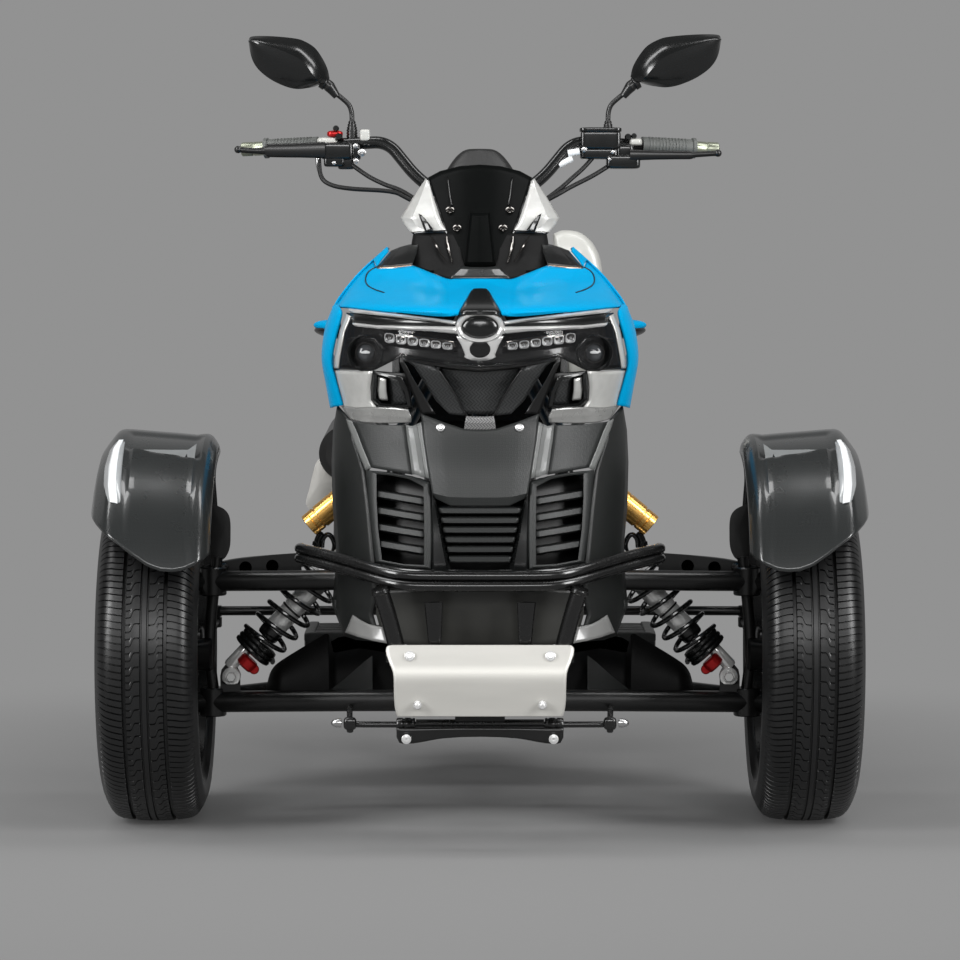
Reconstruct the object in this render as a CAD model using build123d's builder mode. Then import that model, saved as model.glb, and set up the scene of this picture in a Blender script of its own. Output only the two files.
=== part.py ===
"""Reverse motor trike: two steered front wheels, one driven rear wheel.

Millimetres. The nose points to -Y, +Z is up, the origin is on the ground below the middle.
Lengths along the vehicle are given as distances behind the front axle, through back().
"""

import os
from math import atan, cos, sin

from build123d import *

os.makedirs("parts", exist_ok=True)

# Overall layout
FRONT_AXLE_Y = -760
WHEELBASE = 1617
WHEEL_X = 545
KINGPIN_X = 440
WALL = 5
RUNNING_CLEARANCE = 0.1
SEAT_CLEARANCE = 0.3

# Tyres and rims
FRONT_TYRE_R = 281
REAR_TYRE_R = 293
FRONT_SECTION = 168
REAR_SECTION = 204
RIM_SEAT_R = 190
LIP_R = 203
BARREL_R = 168
SPINDLE_R = 17
REAR_AXLE_R = 12
SPOKES = 5

# Front suspension
UPPER_JOINT_Z = 412
LOWER_JOINT_Z = 210
BOSS_R = 18
BOSS_HEIGHT = 36
KINGPIN_R = 8
UPPER_PIVOT_X = 205
LOWER_PIVOT_X = 118
PIVOT_R = 8
BUSH_R = 19
BUSH_LENGTH = 44
ARM_TUBE_R = 17
SHOCK_BACK = 16
SHOCK_LOW = (398, 256)
SHOCK_TOP = (214, 444)
COIL_R = 35
WIRE_R = 4.5

# Steering
COLUMN_FOOT_Z = 337
COLUMN_TOP_BACK = 330
COLUMN_TOP_Z = 1050
COLUMN_R = 14
DROP_ARM = 90
DROP_ARM_X = 16
DROP_ARM_Z = 374
TIE_ROD_Z = 346
TIE_ROD_R = 8
BAR_R = 11

# Body panels
BODY_REAR = 330
FASCIA_REAR = -104


def back(distance):
    """Y of a point that lies this far behind the front axle."""
    return FRONT_AXLE_Y + distance


REAR_AXLE_Y = back(WHEELBASE)
COLUMN_SLOPE = COLUMN_TOP_BACK / (COLUMN_TOP_Z - COLUMN_FOOT_Z)
COLUMN_RAKE = atan(COLUMN_SLOPE)


def column_point(z):
    """Point of the steering axis at height z."""
    return (0, back((z - COLUMN_FOOT_Z) * COLUMN_SLOPE), z)


def tube(points, radius, bend=40):
    """Round bar along a line of points with rounded bends."""
    with BuildPart() as piece:
        with BuildLine() as path:
            if len(points) == 2:
                Line(*points)
            else:
                FilletPolyline(*points, radius=bend)
        with BuildSketch(Plane(origin=path.line @ 0, z_dir=path.line % 0)):
            Circle(radius)
        sweep()
    return piece.part


def rod(start, end, radius):
    """Straight cylinder between two points."""
    axis = Vector(*end) - Vector(*start)
    with BuildPart() as piece:
        with BuildSketch(Plane(origin=start, z_dir=axis)):
            Circle(radius)
        extrude(amount=axis.length)
    return piece.part


def box(x, y, z):
    """Box from its limits along each axis."""
    with BuildPart() as piece:
        with Locations(((x[0] + x[1]) / 2, (y[0] + y[1]) / 2, (z[0] + z[1]) / 2)):
            Box(x[1] - x[0], y[1] - y[0], z[1] - z[0])
    return piece.part


def front_cut(points, start, end):
    """Prism on an outline drawn in the front view (x, z), between two distances behind the axle."""
    with BuildPart() as piece:
        with BuildSketch(Plane(origin=(0, back(start), 0), x_dir=(1, 0, 0), z_dir=(0, -1, 0))):
            with BuildLine():
                Polyline(*points, close=True)
            make_face()
        extrude(amount=start - end)
    return piece.part


def side_cut(points, x_from, x_to):
    """Prism on an outline drawn in the side view (distance behind the axle, z)."""
    with BuildPart() as piece:
        with BuildSketch(Plane(origin=(x_from, 0, 0), x_dir=(0, 1, 0), z_dir=(1, 0, 0))):
            with BuildLine():
                Polyline(*[(back(d), z) for d, z in points], close=True)
            make_face()
        extrude(amount=x_to - x_from)
    return piece.part


def both_sides(points):
    """Closed outline from its right half, listed from the centre line round to the centre line."""
    return points + [(-x, z) for x, z in reversed(points) if x != 0]


def save(shape, name):
    shape.label = name
    export_step(shape, f"parts/{name}.step")


# Nose form: height, half width, centre front, corner, the last two as distances behind the axle
NOSE = [
    (317, 236, -330, -130),
    (440, 244, -345, -112),
    (600, 248, -322, -106),
    (690, 247, -288, -90),
    (790, 262, -330, -75),
    (862, 246, -335, -60),
    (915, 212, -90, 20),
    (965, 160, 20, 90),
    (1000, 120, 80, 140),
]
COWL = [
    (925, 150, 0, 72),
    (1020, 160, 82, 154),
    (1118, 122, 166, 222),
]


def curved_form(table, inset, rear):
    """Solid through level sections with a bowed front, every face drawn in by the inset."""
    with BuildPart() as form:
        for z, half, front, corner in table:
            w = half - inset
            with BuildSketch(Plane.XY.offset(z)):
                with BuildLine():
                    ThreePointArc((-w, back(corner)), (0, back(front + inset)), (w, back(corner)))
                    Polyline((w, back(corner)), (w, back(rear)), (-w, back(rear)), (-w, back(corner)))
                make_face()
        loft(ruled=True)
    return form.part


nose_outer = curved_form(NOSE, 0, BODY_REAR)
nose_inner = curved_form(NOSE, WALL, BODY_REAR + 20)
nose_deep = curved_form(NOSE, 22, BODY_REAR + 20)
nose_back = curved_form(NOSE, 44, BODY_REAR + 20)
nose_raised = curved_form(NOSE, -7, BODY_REAR)
cowl_outer = curved_form(COWL, 0, 300)
cowl_inner = curved_form(COWL, WALL, 320)
cowl_under = curved_form(COWL, 2 * WALL, 320)

with BuildPart() as nose_shell:
    add(nose_outer)
    add(nose_inner, mode=Mode.SUBTRACT)

# Outlines in the front view, right half from the centre line
LAMP_TOP = [(0, 846), (67, 854), (219, 868)]
LAMP_SIDE = [(247, 800), (246, 767)]
LAMP_LOW = [(175, 762), (130, 792), (0, 792)]
HOOD_SIDE = [(219, 868), (247, 800), (246, 767), (238, 703), (320, 703), (320, 976)]
BASE_EDGE = [(165, 976), (113, 940), (57, 917), (0, 917)]

hood_outline = both_sides([(0, 846), (67, 854)] + HOOD_SIDE + BASE_EDGE)
lamp_outline = both_sides(LAMP_TOP + LAMP_SIDE + LAMP_LOW)
vee_outline = both_sides([(0, 792), (130, 792), (24, 690), (24, 674), (0, 674)])
fascia_outline = both_sides(
    [(0, 674), (24, 674), (24, 690), (130, 792), (175, 762), (246, 767), (238, 703), (320, 703)]
    + [(320, 300), (0, 300)]
)
base_outline = both_sides([(0, 917), (57, 917), (113, 940), (165, 976), (165, 1010), (0, 1010)])
screen_outline = both_sides([(0, 1112), (50, 1108), (90, 1092), (33, 940), (0, 940)])
wing_outline = [(90, 1092), (132, 1028), (138, 1020), (119, 994), (72, 1000), (57, 1004)]

# Blue hood with its side walls and the small flicks at their rear ends
with BuildPart() as hood:
    add(front_cut(hood_outline, -420, BODY_REAR))
    add(nose_shell.part, mode=Mode.INTERSECT)
    for side in (1, -1):
        with BuildSketch(Plane.XY.offset(816)):
            with BuildLine():
                Polyline(
                    (side * 250, back(200)), (side * 259, back(200)), (side * 298, back(318)),
                    (side * 298, back(330)), (side * 250, back(330)), close=True,
                )
            make_face()
        extrude(amount=22)
    add(nose_inner, mode=Mode.SUBTRACT)

# Black lower fascia: vents with sloping slats, a stack of level louvres in the middle
VENT = [(90, 596), (172, 606), (168, 458), (86, 450)]
LOUVRE = both_sides([(0, 566), (75, 566), (56, 464), (0, 464)])
with BuildPart() as fascia:
    add(front_cut(fascia_outline, -420, FASCIA_REAR))
    add(nose_shell.part, mode=Mode.INTERSECT)
    for side in (1, -1):
        add(front_cut([(side * x, z) for x, z in VENT], -420, -150), mode=Mode.SUBTRACT)
    add(front_cut(LOUVRE, -420, -200), mode=Mode.SUBTRACT)
with BuildPart() as slats:
    for side in (1, -1):
        for step in range(5):
            low = 466 + 29 * step
            add(front_cut([(side * 84, low), (side * 174, low + 22), (side * 174, low + 30),
                           (side * 84, low + 8)], -420, -150))
    for step in range(6):
        low = 470 + 17 * step
        add(front_cut([(-82, low), (82, low), (82, low + 6), (-82, low + 6)], -420, -200))
    add(nose_inner, mode=Mode.INTERSECT)
    add(nose_deep, mode=Mode.SUBTRACT)
with BuildPart() as vents:
    add(fascia.part)
    add(slats.part)
    for side in (1, -1):
        add(front_cut([(side * 80, 440), (side * 90, 440), (side * 94, 606), (side * 84, 606)], -420, -200))
        add(front_cut([(side * 164, 446), (side * 178, 446), (side * 182, 616), (side * 168, 616)], -420,
                      -150))
    add(nose_outer, mode=Mode.INTERSECT)
    add(nose_deep, mode=Mode.SUBTRACT)
    add(fascia.part)

# Headlamp band behind one clear cover, two projectors on the black housing
with BuildPart() as headlight_cover:
    add(front_cut(lamp_outline, -420, -20))
    add(nose_shell.part, mode=Mode.INTERSECT)
with BuildPart() as headlight_unit:
    add(front_cut(lamp_outline, -420, -20))
    add(nose_deep, mode=Mode.INTERSECT)
    add(nose_back, mode=Mode.SUBTRACT)
    for side in (1, -1):
        add(rod((side * 188, back(-225), 796), (side * 188, back(-170), 796), 26))
    add(front_cut(both_sides([(0, 835), (30, 835), (30, 805), (0, 805)]), -420, -200))
    add(nose_inner, mode=Mode.INTERSECT)

# Chrome strips with the plain oval badge, and the V-shaped grille below
with BuildPart() as nose_trim:
    for side in (1, -1):
        add(front_cut([(side * x, z) for x, z in [(36, 842), (219, 859), (219, 868), (36, 851)]], -440,
                      -40))
    with BuildSketch(Plane(origin=(0, back(-440), 0), x_dir=(1, 0, 0), z_dir=(0, -1, 0))):
        with Locations((0, 836)):
            Ellipse(42, 19)
    extrude(amount=-150)
    add(nose_raised, mode=Mode.INTERSECT)
    add(nose_outer, mode=Mode.SUBTRACT)
with BuildPart() as nose_grille:
    add(front_cut(vee_outline, -420, -100))
    add(nose_shell.part, mode=Mode.INTERSECT)

# Dash base, screen and silver wings
with BuildPart() as dash_bar:
    add(box((-170, 170), (back(196), back(222)), (950, 980)))
    add(nose_outer, mode=Mode.INTERSECT)
with BuildPart() as dash_base:
    add(front_cut(base_outline, -420, BODY_REAR))
    add(nose_shell.part, mode=Mode.INTERSECT)
    add(cowl_outer, mode=Mode.SUBTRACT)
    add(box((-58, 58), (back(185), back(200)), (1000, 1085)))
    add(box((-20, 20), (back(196), back(222)), (975, 1060)))
    add(dash_bar.part)
    add(hood.part, mode=Mode.SUBTRACT)
with BuildPart() as windscreen:
    add(front_cut(screen_outline, -100, 300))
    add(cowl_outer, mode=Mode.INTERSECT)
    add(cowl_inner, mode=Mode.SUBTRACT)
with BuildPart() as cowl_wings:
    for side in (1, -1):
        add(front_cut([(side * x, z) for x, z in wing_outline], -100, 230))
    add(cowl_outer, mode=Mode.INTERSECT)
    add(cowl_inner, mode=Mode.SUBTRACT)
with BuildPart() as wing_bridge:
    add(front_cut([(-80, 1006), (80, 1006), (84, 1026), (-84, 1026)], -100, 230))
    add(cowl_inner, mode=Mode.INTERSECT)
    add(cowl_under, mode=Mode.SUBTRACT)
with BuildPart() as cowl_frame:
    add(cowl_wings.part)
    add(wing_bridge.part)

for name, shape in (
    ("hood", hood), ("fascia", vents), ("headlight_cover", headlight_cover),
    ("headlight_unit", headlight_unit), ("nose_trim", nose_trim), ("nose_grille", nose_grille),
    ("dash_base", dash_base), ("windscreen", windscreen), ("cowl_wings", cowl_frame),
):
    save(shape.part, name)

# Front wheels: tyre, rim with hub and brake disc, turned about the axle

def tyre(half, radius):
    """Tyre as one turned ring about the X axis, centred on the origin."""
    lip = half - 22.5
    with BuildPart() as ring:
        with BuildSketch(Plane.XY):
            with BuildLine():
                Polyline((-lip, 190.4), (-lip - 1.7, 203.6), (-half + 10, 208))
                ThreePointArc((-half + 10, 208), (-half, (208 + radius) / 2 - 6), (-half + 12, radius - 16))
                ThreePointArc((-half + 12, radius - 16), (-half + 17, radius - 9), (-half + 27, radius - 5))
                ThreePointArc((-half + 27, radius - 5), (0, radius), (half - 27, radius - 5))
                ThreePointArc((half - 27, radius - 5), (half - 17, radius - 9), (half - 12, radius - 16))
                ThreePointArc((half - 12, radius - 16), (half, (208 + radius) / 2 - 6), (half - 10, 208))
                Polyline((half - 10, 208), (lip + 1.7, 203.6), (lip, 190.4), (-lip, 190.4))
            make_face()
        revolve(axis=Axis.X)
    return ring.part


def rim(half, hub, bore, face, thick):
    """Rim about the X axis: barrel, hub between two stations, spokes whose face lies at a station."""
    lip = half - 22
    with BuildPart() as wheel:
        with BuildSketch(Plane.XY):
            with BuildLine():
                Polyline(
                    (-lip - 8, LIP_R), (-lip - 2, LIP_R), (-lip, RIM_SEAT_R), (lip, RIM_SEAT_R),
                    (lip + 2, LIP_R), (lip + 8, LIP_R), (lip + 8, LIP_R - 9), (lip - 6, 180),
                    (lip - 24, BARREL_R), (24 - lip, BARREL_R), (6 - lip, 180), (-lip - 8, LIP_R - 9),
                    close=True,
                )
            make_face()
        revolve(axis=Axis.X)
        with BuildSketch(Plane.YZ.offset(hub[0])):
            Circle(42)
        extrude(amount=hub[1] - hub[0])
        with BuildSketch(Plane.YZ.offset(face - thick)):
            for turn in range(SPOKES):
                with Locations(Rot(0, 0, 360 / SPOKES * turn + 90) * Pos(105, 0)):
                    Rectangle(150, 42)
        extrude(amount=thick)
        with BuildSketch(Plane.YZ.offset(hub[0])):
            Circle(bore)
        extrude(amount=hub[1] - hub[0], mode=Mode.SUBTRACT)
    return wheel.part


FRONT_HALF = FRONT_SECTION / 2
REAR_HALF = REAR_SECTION / 2
DISC_IN, DISC_OUT = -53, -48
with BuildPart() as front_rim:
    add(rim(FRONT_HALF, (DISC_IN, 46), SPINDLE_R + RUNNING_CLEARANCE, 44, 24))
    with BuildSketch(Plane.YZ.offset(DISC_IN)):
        Circle(110)
        Circle(40, mode=Mode.SUBTRACT)
    extrude(amount=DISC_OUT - DISC_IN)
front_tyre = tyre(FRONT_HALF, FRONT_TYRE_R)
SPROCKET_X = 118
SPROCKET_R = 88
with BuildPart() as rear_rim:
    add(rim(REAR_HALF, (-112, 124), REAR_AXLE_R + RUNNING_CLEARANCE, 14, 28))
    for start, radius, thick in ((113, SPROCKET_R, 10), (-112, 115, 5)):
        with BuildSketch(Plane.YZ.offset(start)):
            Circle(radius)
            Circle(40, mode=Mode.SUBTRACT)
        extrude(amount=thick)
rear_place = Location((0, REAR_AXLE_Y, REAR_TYRE_R))
save(rear_rim.part.moved(rear_place), "rim_rear")
save(tyre(REAR_HALF, REAR_TYRE_R).moved(rear_place), "tyre_rear")

# Front corners are drawn on the vehicle's left (+X) and mirrored
HUB_Z = FRONT_TYRE_R
wheel_place = Location((WHEEL_X, FRONT_AXLE_Y, HUB_Z))

# Knuckle: kingpin pillar, spindle, caliper, steering arm and the stay of the mudguard
ARM_X = KINGPIN_X + DROP_ARM_X
with BuildPart() as knuckle:
    low = LOWER_JOINT_Z + BOSS_HEIGHT / 2
    high = UPPER_JOINT_Z - BOSS_HEIGHT / 2
    add(rod((KINGPIN_X, FRONT_AXLE_Y, low + SEAT_CLEARANCE),
            (KINGPIN_X, FRONT_AXLE_Y, high - SEAT_CLEARANCE), 20))
    add(rod((KINGPIN_X, FRONT_AXLE_Y, LOWER_JOINT_Z - 30), (KINGPIN_X, FRONT_AXLE_Y, UPPER_JOINT_Z + 30),
            KINGPIN_R))
    add(rod((KINGPIN_X, FRONT_AXLE_Y, LOWER_JOINT_Z - 30),
            (KINGPIN_X, FRONT_AXLE_Y, LOWER_JOINT_Z - BOSS_HEIGHT / 2 - SEAT_CLEARANCE), 13))
    add(rod((KINGPIN_X, FRONT_AXLE_Y, UPPER_JOINT_Z + BOSS_HEIGHT / 2 + SEAT_CLEARANCE),
            (KINGPIN_X, FRONT_AXLE_Y, 447), 13))
    add(rod((KINGPIN_X, FRONT_AXLE_Y, HUB_Z), (WHEEL_X + DISC_IN - SEAT_CLEARANCE, FRONT_AXLE_Y, HUB_Z),
            26))
    add(rod((KINGPIN_X, FRONT_AXLE_Y, HUB_Z), (WHEEL_X + 60, FRONT_AXLE_Y, HUB_Z), SPINDLE_R))
    add(rod((WHEEL_X + 46 + SEAT_CLEARANCE, FRONT_AXLE_Y, HUB_Z), (WHEEL_X + 62, FRONT_AXLE_Y, HUB_Z), 24))
    add(box((KINGPIN_X + 5, WHEEL_X - 62), (back(0), back(120)), (HUB_Z - 20, HUB_Z + 20)))
    add(box((WHEEL_X - 72, WHEEL_X - 28), (back(84), back(136)), (HUB_Z - 36, HUB_Z + 36)))
    add(box((WHEEL_X + DISC_IN - 2, WHEEL_X + DISC_OUT + 2), (back(40), back(120)),
            (HUB_Z - 50, HUB_Z + 50)),
        mode=Mode.SUBTRACT)
    add(box((ARM_X - 26, ARM_X + 8), (back(0), back(DROP_ARM)), (TIE_ROD_Z - 26, TIE_ROD_Z - 10)))
    add(rod((ARM_X, back(DROP_ARM), TIE_ROD_Z - 26), (ARM_X, back(DROP_ARM), TIE_ROD_Z - 10), 14))
    add(rod((ARM_X, back(DROP_ARM), TIE_ROD_Z - 26), (ARM_X, back(DROP_ARM), TIE_ROD_Z + 12), 6))
    add(box((424, 456), (back(-24), back(34)), (438, 447)))
    add(side_cut([(-24, 438), (34, 438), (34, 500), (44, 520), (44, 652), (-30, 652), (-24, 500)], 432,
                 441.7))

# Mudguard: an arched shell over the wheel, trimmed to its pointed front outline
FENDER_RISE = 50
FENDER_R = 322
FENDER_IN, FENDER_OUT = 442, 634
FENDER_OUTLINE = [
    (598, 664), (456, 656), (FENDER_IN, 642), (FENDER_IN, 474), (462, 455), (496, 444), (536, 453),
    (584, 488), (622, 518), (FENDER_OUT, 545), (612, 651),
]
with BuildPart() as fender:
    with BuildSketch(Plane.XY):
        with BuildLine():
            a, b, r = FENDER_IN - WHEEL_X, FENDER_OUT - WHEEL_X, FENDER_R
            Polyline(
                (a, r - 54), (a, r - 16), (a + 14, r), (b - 36, r), (b - 12, r - 14), (b, r - 44), (b,
                                                                                                    r - 66),
                (b - 4, r - 66), (b - 4, r - 45), (b - 15, r - 17), (b - 38, r - 4), (a + 16, r - 4),
                (a + 4, r - 17), (a + 4, r - 54), close=True,
            )
        make_face()
    revolve(axis=Axis.X, revolution_arc=160)
fender_ring = fender.part.rotate(Axis.X, 10).moved(Location((WHEEL_X, FRONT_AXLE_Y, HUB_Z + FENDER_RISE)))
with BuildPart() as fender_shell:
    add(fender_ring)
    add(front_cut(FENDER_OUTLINE, -420, 420), mode=Mode.INTERSECT)

# Wishbones: two tubes from the frame to the ball-joint boss
ARMS = [  # name, boss height, inner x, front bush, rear bush, front tube, rear tube
    ("upper_arm", UPPER_JOINT_Z, UPPER_PIVOT_X, -62, 135, ARM_TUBE_R, 13),
    ("lower_arm", LOWER_JOINT_Z, LOWER_PIVOT_X, -62, 150, ARM_TUBE_R, 14),
]
clevis_ears = [(SHOCK_BACK - 20.3, SHOCK_BACK - 14.3), (SHOCK_BACK + 14.3, SHOCK_BACK + 20.3)]
wishbones = {}
for name, z, inner, front, rear, front_r, rear_r in ARMS:
    with BuildPart() as arm:
        boss = (KINGPIN_X, FRONT_AXLE_Y, z)
        for station, radius in ((front, front_r), (rear, rear_r)):
            add(rod((inner, back(station), z), boss, radius))
            add(rod((inner, back(station - BUSH_LENGTH / 2), z),
                    (inner, back(station + BUSH_LENGTH / 2), z), BUSH_R))
        add(rod((KINGPIN_X, FRONT_AXLE_Y, z - BOSS_HEIGHT / 2),
                (KINGPIN_X, FRONT_AXLE_Y, z + BOSS_HEIGHT / 2), BOSS_R + 4))
        middle = inner + 0.62 * (KINGPIN_X - inner)
        add(rod((middle, back(front * 0.38), z), (middle, back(rear * 0.38), z), 9))
        if name == "lower_arm":
            for low, high in clevis_ears:
                add(front_cut([(SHOCK_LOW[0] - 16, z), (SHOCK_LOW[0] + 12, z),
                               (SHOCK_LOW[0] + 12, SHOCK_LOW[1] + 8),
                               (SHOCK_LOW[0] + 4, SHOCK_LOW[1] + 14), (SHOCK_LOW[0] - 8, SHOCK_LOW[1] + 14),
                               (SHOCK_LOW[0] - 16, SHOCK_LOW[1] + 2)], low, high))
            add(rod((SHOCK_LOW[0], back(clevis_ears[0][0] - 8), SHOCK_LOW[1]),
                    (SHOCK_LOW[0], back(clevis_ears[1][1] + 4), SHOCK_LOW[1]), PIVOT_R))
            add(front_cut([(188, 214), (352, 214), (342, 244), (266, 296), (246, 284), (236, 262),
                           (190, 262)], -52, -46))
            add(box((190, 350), (back(-60), back(-20)), (208, 216)))
        for station in (front, rear):
            add(rod((inner, back(station - 30), z), (inner, back(station + 30), z),
                    PIVOT_R + SEAT_CLEARANCE), mode=Mode.SUBTRACT)
        add(rod((KINGPIN_X, FRONT_AXLE_Y, z - 20), (KINGPIN_X, FRONT_AXLE_Y, z + 20),
                KINGPIN_R + RUNNING_CLEARANCE),
            mode=Mode.SUBTRACT)
    wishbones[name] = arm.part

# Coil-over damper leaning inward, with its reservoir alongside
LEAN = Vector(SHOCK_TOP[0] - SHOCK_LOW[0], 0, SHOCK_TOP[1] - SHOCK_LOW[1])
SHOCK_LENGTH = LEAN.length
LEAN = LEAN.normalized()
ASIDE = Vector(LEAN.Z, 0, -LEAN.X)
RESERVOIR_OFFSET = 89


def on_shock(along, aside=0):
    """Point measured along the damper from its lower eye, and out to its upper side."""
    foot = Vector(SHOCK_LOW[0], back(SHOCK_BACK), SHOCK_LOW[1])
    return tuple(foot + LEAN * along + ASIDE * aside)


DAMPER = [  # start, end, radius
    (0, 60, 11), (34, 40, 38), (28, 62, 24), (60, 160, 15), (120, 212, 22), (200, 206, 38), (206, 240, 27),
    (236, SHOCK_LENGTH, 11),
]
with BuildPart() as damper:
    for start, end, radius in DAMPER:
        add(rod(on_shock(start), on_shock(end), radius))
    for centre in (0, SHOCK_LENGTH):
        x, y, z = on_shock(centre)
        add(rod((x, y - 14, z), (x, y + 14, z), 14))
    add(tube([on_shock(226), on_shock(258, RESERVOIR_OFFSET)], 11))
    for centre in (0, SHOCK_LENGTH):
        x, y, z = on_shock(centre)
        add(rod((x, y - 20, z), (x, y + 20, z), PIVOT_R + SEAT_CLEARANCE), mode=Mode.SUBTRACT)
    add(rod(on_shock(246, RESERVOIR_OFFSET), on_shock(364, RESERVOIR_OFFSET), 23 + SEAT_CLEARANCE),
        mode=Mode.SUBTRACT)
reservoir = rod(on_shock(246, RESERVOIR_OFFSET), on_shock(364, RESERVOIR_OFFSET), 23)
COIL_TURNS = 6
COIL_FREE = 200 - 40 - 2 * WIRE_R - 1
with BuildPart() as spring:
    with BuildLine() as turns:
        Helix(COIL_FREE / COIL_TURNS, COIL_FREE, COIL_R - WIRE_R)
    with BuildSketch(Plane(origin=turns.line @ 0, z_dir=turns.line % 0)):
        Circle(WIRE_R)
    sweep(is_frenet=True)
spring_plane = Plane(origin=on_shock(40 + WIRE_R + 0.5), z_dir=LEAN)
coil = spring.part.moved(spring_plane.location)

# Tie rod from the knuckle's arm to the drop arm, its inner eye wide enough for the open pivot
ROOT_Z = DROP_ARM_Z + DROP_ARM * sin(COLUMN_RAKE)
DROP_ARM_BACK = back((ROOT_Z - COLUMN_FOOT_Z) * COLUMN_SLOPE + DROP_ARM * cos(COLUMN_RAKE))


def pin_point(z):
    """Point of the left drop-arm pin, which leans as the column does, at a height."""
    return (DROP_ARM_X, DROP_ARM_BACK - (DROP_ARM_Z - z) * COLUMN_SLOPE, z)


with BuildPart() as tie_rod:
    outer = (ARM_X, back(DROP_ARM), TIE_ROD_Z)
    inner = pin_point(TIE_ROD_Z)
    add(rod(outer, inner, TIE_ROD_R))
    add(rod((ARM_X, back(DROP_ARM), TIE_ROD_Z - 9.5), (ARM_X, back(DROP_ARM), TIE_ROD_Z + 9), 13))
    add(rod(pin_point(TIE_ROD_Z - 6.5), pin_point(TIE_ROD_Z + 6.5), 13.5))
    add(rod((ARM_X, back(DROP_ARM), 300), (ARM_X, back(DROP_ARM), 390), 6 + RUNNING_CLEARANCE),
        mode=Mode.SUBTRACT)
    add(rod(pin_point(300), pin_point(390), 9), mode=Mode.SUBTRACT)

corner = {
    "knuckle": knuckle.part, "fender": fender_shell.part, "upper_arm": wishbones["upper_arm"],
    "lower_arm": wishbones["lower_arm"], "damper": damper.part, "reservoir": reservoir, "spring": coil,
    "tie_rod": tie_rod.part, "rim": front_rim.part.moved(wheel_place), "tyre": front_tyre.moved(wheel_place),
}
for name, shape in corner.items():
    save(shape, f"{name}_left")
    save(mirror(shape, about=Plane.YZ), f"{name}_right")

# Steering column with drop arm below and bar clamp on top
AXIS_DIR = Vector(0, COLUMN_TOP_BACK, COLUMN_TOP_Z - COLUMN_FOOT_Z).normalized()
with BuildPart() as steering_column:
    add(rod(column_point(ROOT_Z - 12), column_point(COLUMN_TOP_Z - 8), COLUMN_R))
    root = Plane(origin=column_point(ROOT_Z), x_dir=(1, 0, 0), z_dir=tuple(AXIS_DIR))
    with BuildSketch(root):
        with BuildLine():
            Polyline((-20, -14), (20, -14), (26, DROP_ARM + 8), (-26, DROP_ARM + 8), close=True)
        make_face()
    extrude(amount=6, both=True)
    for side in (1, -1):
        pin = [(side * x, y, z) for x, y, z in (pin_point(DROP_ARM_Z), pin_point(TIE_ROD_Z - 16))]
        add(rod(pin[0], pin[1], 6))
    add(box((-34, 34), (back(310), back(360)), (1034, 1082)))
    add(rod((-80, back(336), 1060), (80, back(336), 1060), BAR_R + SEAT_CLEARANCE), mode=Mode.SUBTRACT)
save(steering_column.part, "steering_column")

# Handlebar with grips, end weights, lever blades, switch block and the brake reservoir
BAR_POINTS = [(66, 336, 1060), (112, 348, 1092), (164, 366, 1156), (424, 420.6, 1143.8)]
GRIP_R = 16
GRIP_IN, GRIP_OUT = 288, 380
BAR_END = BAR_POINTS[-1][0]


def bar_spot(x):
    """Point of the bar's straight end at a distance from the centre line; negative x is the rider's right."""
    (x0, d0, z0), (x1, d1, z1) = BAR_POINTS[-2:]
    share = (abs(x) - x0) / (x1 - x0)
    return (x, back(d0 + share * (d1 - d0)), z0 + share * (z1 - z0))


LEVERS = [  # side, blade top, blade foot, height of the ball
    (1, 1143, 1126, 1136),
    (-1, 1154, 1128, 1142),
]
bar_path = [(-x, back(d), z) for x, d, z in reversed(BAR_POINTS)] + [(x, back(d), z) for x, d,
                                                                     z in BAR_POINTS]
with BuildPart() as handlebar:
    add(tube(bar_path, BAR_R, 26))
    for side, top, foot, ball in LEVERS:
        add(rod(bar_spot(side * GRIP_IN), bar_spot(side * GRIP_OUT), GRIP_R))
        add(rod(bar_spot(side * GRIP_OUT), bar_spot(side * (GRIP_OUT + 4)), GRIP_R + 2.5))
        add(rod(bar_spot(side * (GRIP_OUT + 4)), bar_spot(side * (BAR_END + 2)), BAR_R + 1.5))
        add(rod(bar_spot(side * 226), bar_spot(side * GRIP_IN), 20))
        add(box(sorted((side * 222, side * 284)), (back(344), back(392)), (1110, 1152)))
        add(front_cut([(side * x, z) for x, z in (
            (264, top), (380, top - 2), (388, ball + 5), (426, ball + 5), (426, ball - 5), (388, ball - 5),
            (378, foot), (264, foot))], 346, 355))
        add(rod((side * 422, back(350.5), ball), (side * 432, back(350.5), ball), 7))
    add(box((178, 250), (back(352), back(394)), (1140, 1186)))
    add(rod((-262, back(380), 1150), (-262, back(380), 1178), 9))
save(handlebar.part, "handlebar")

# Mirrors on bent stems
MIRROR = [(272, 1262), (300, 1252), (390, 1268), (436, 1306), (440, 1330), (426, 1346), (380, 1353),
          (300, 1336), (274, 1300)]
for side, word in ((1, "left"), (-1, "right")):
    with BuildPart() as mirror_arm:
        add(tube([(side * 228, back(386), 1172), (side * 228, back(384), 1226),
                  (side * 262, back(380), 1262),
                  (side * 300, back(372), 1286)], 6, 24))
    with BuildPart() as mirror_unit:
        with BuildSketch(Plane(origin=(0, back(384), 0), x_dir=(1, 0, 0), z_dir=(0, -1, 0))):
            with BuildLine():
                Polyline(*[(side * x, z) for x, z in MIRROR], close=True)
            make_face()
        extrude(amount=34, taper=28)
        add(mirror_arm.part)
    with BuildPart() as mirror_whole:
        add(mirror_unit.part)
        add(handlebar.part, mode=Mode.SUBTRACT)
    save(mirror_whole.part, f"mirror_{word}")

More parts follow.
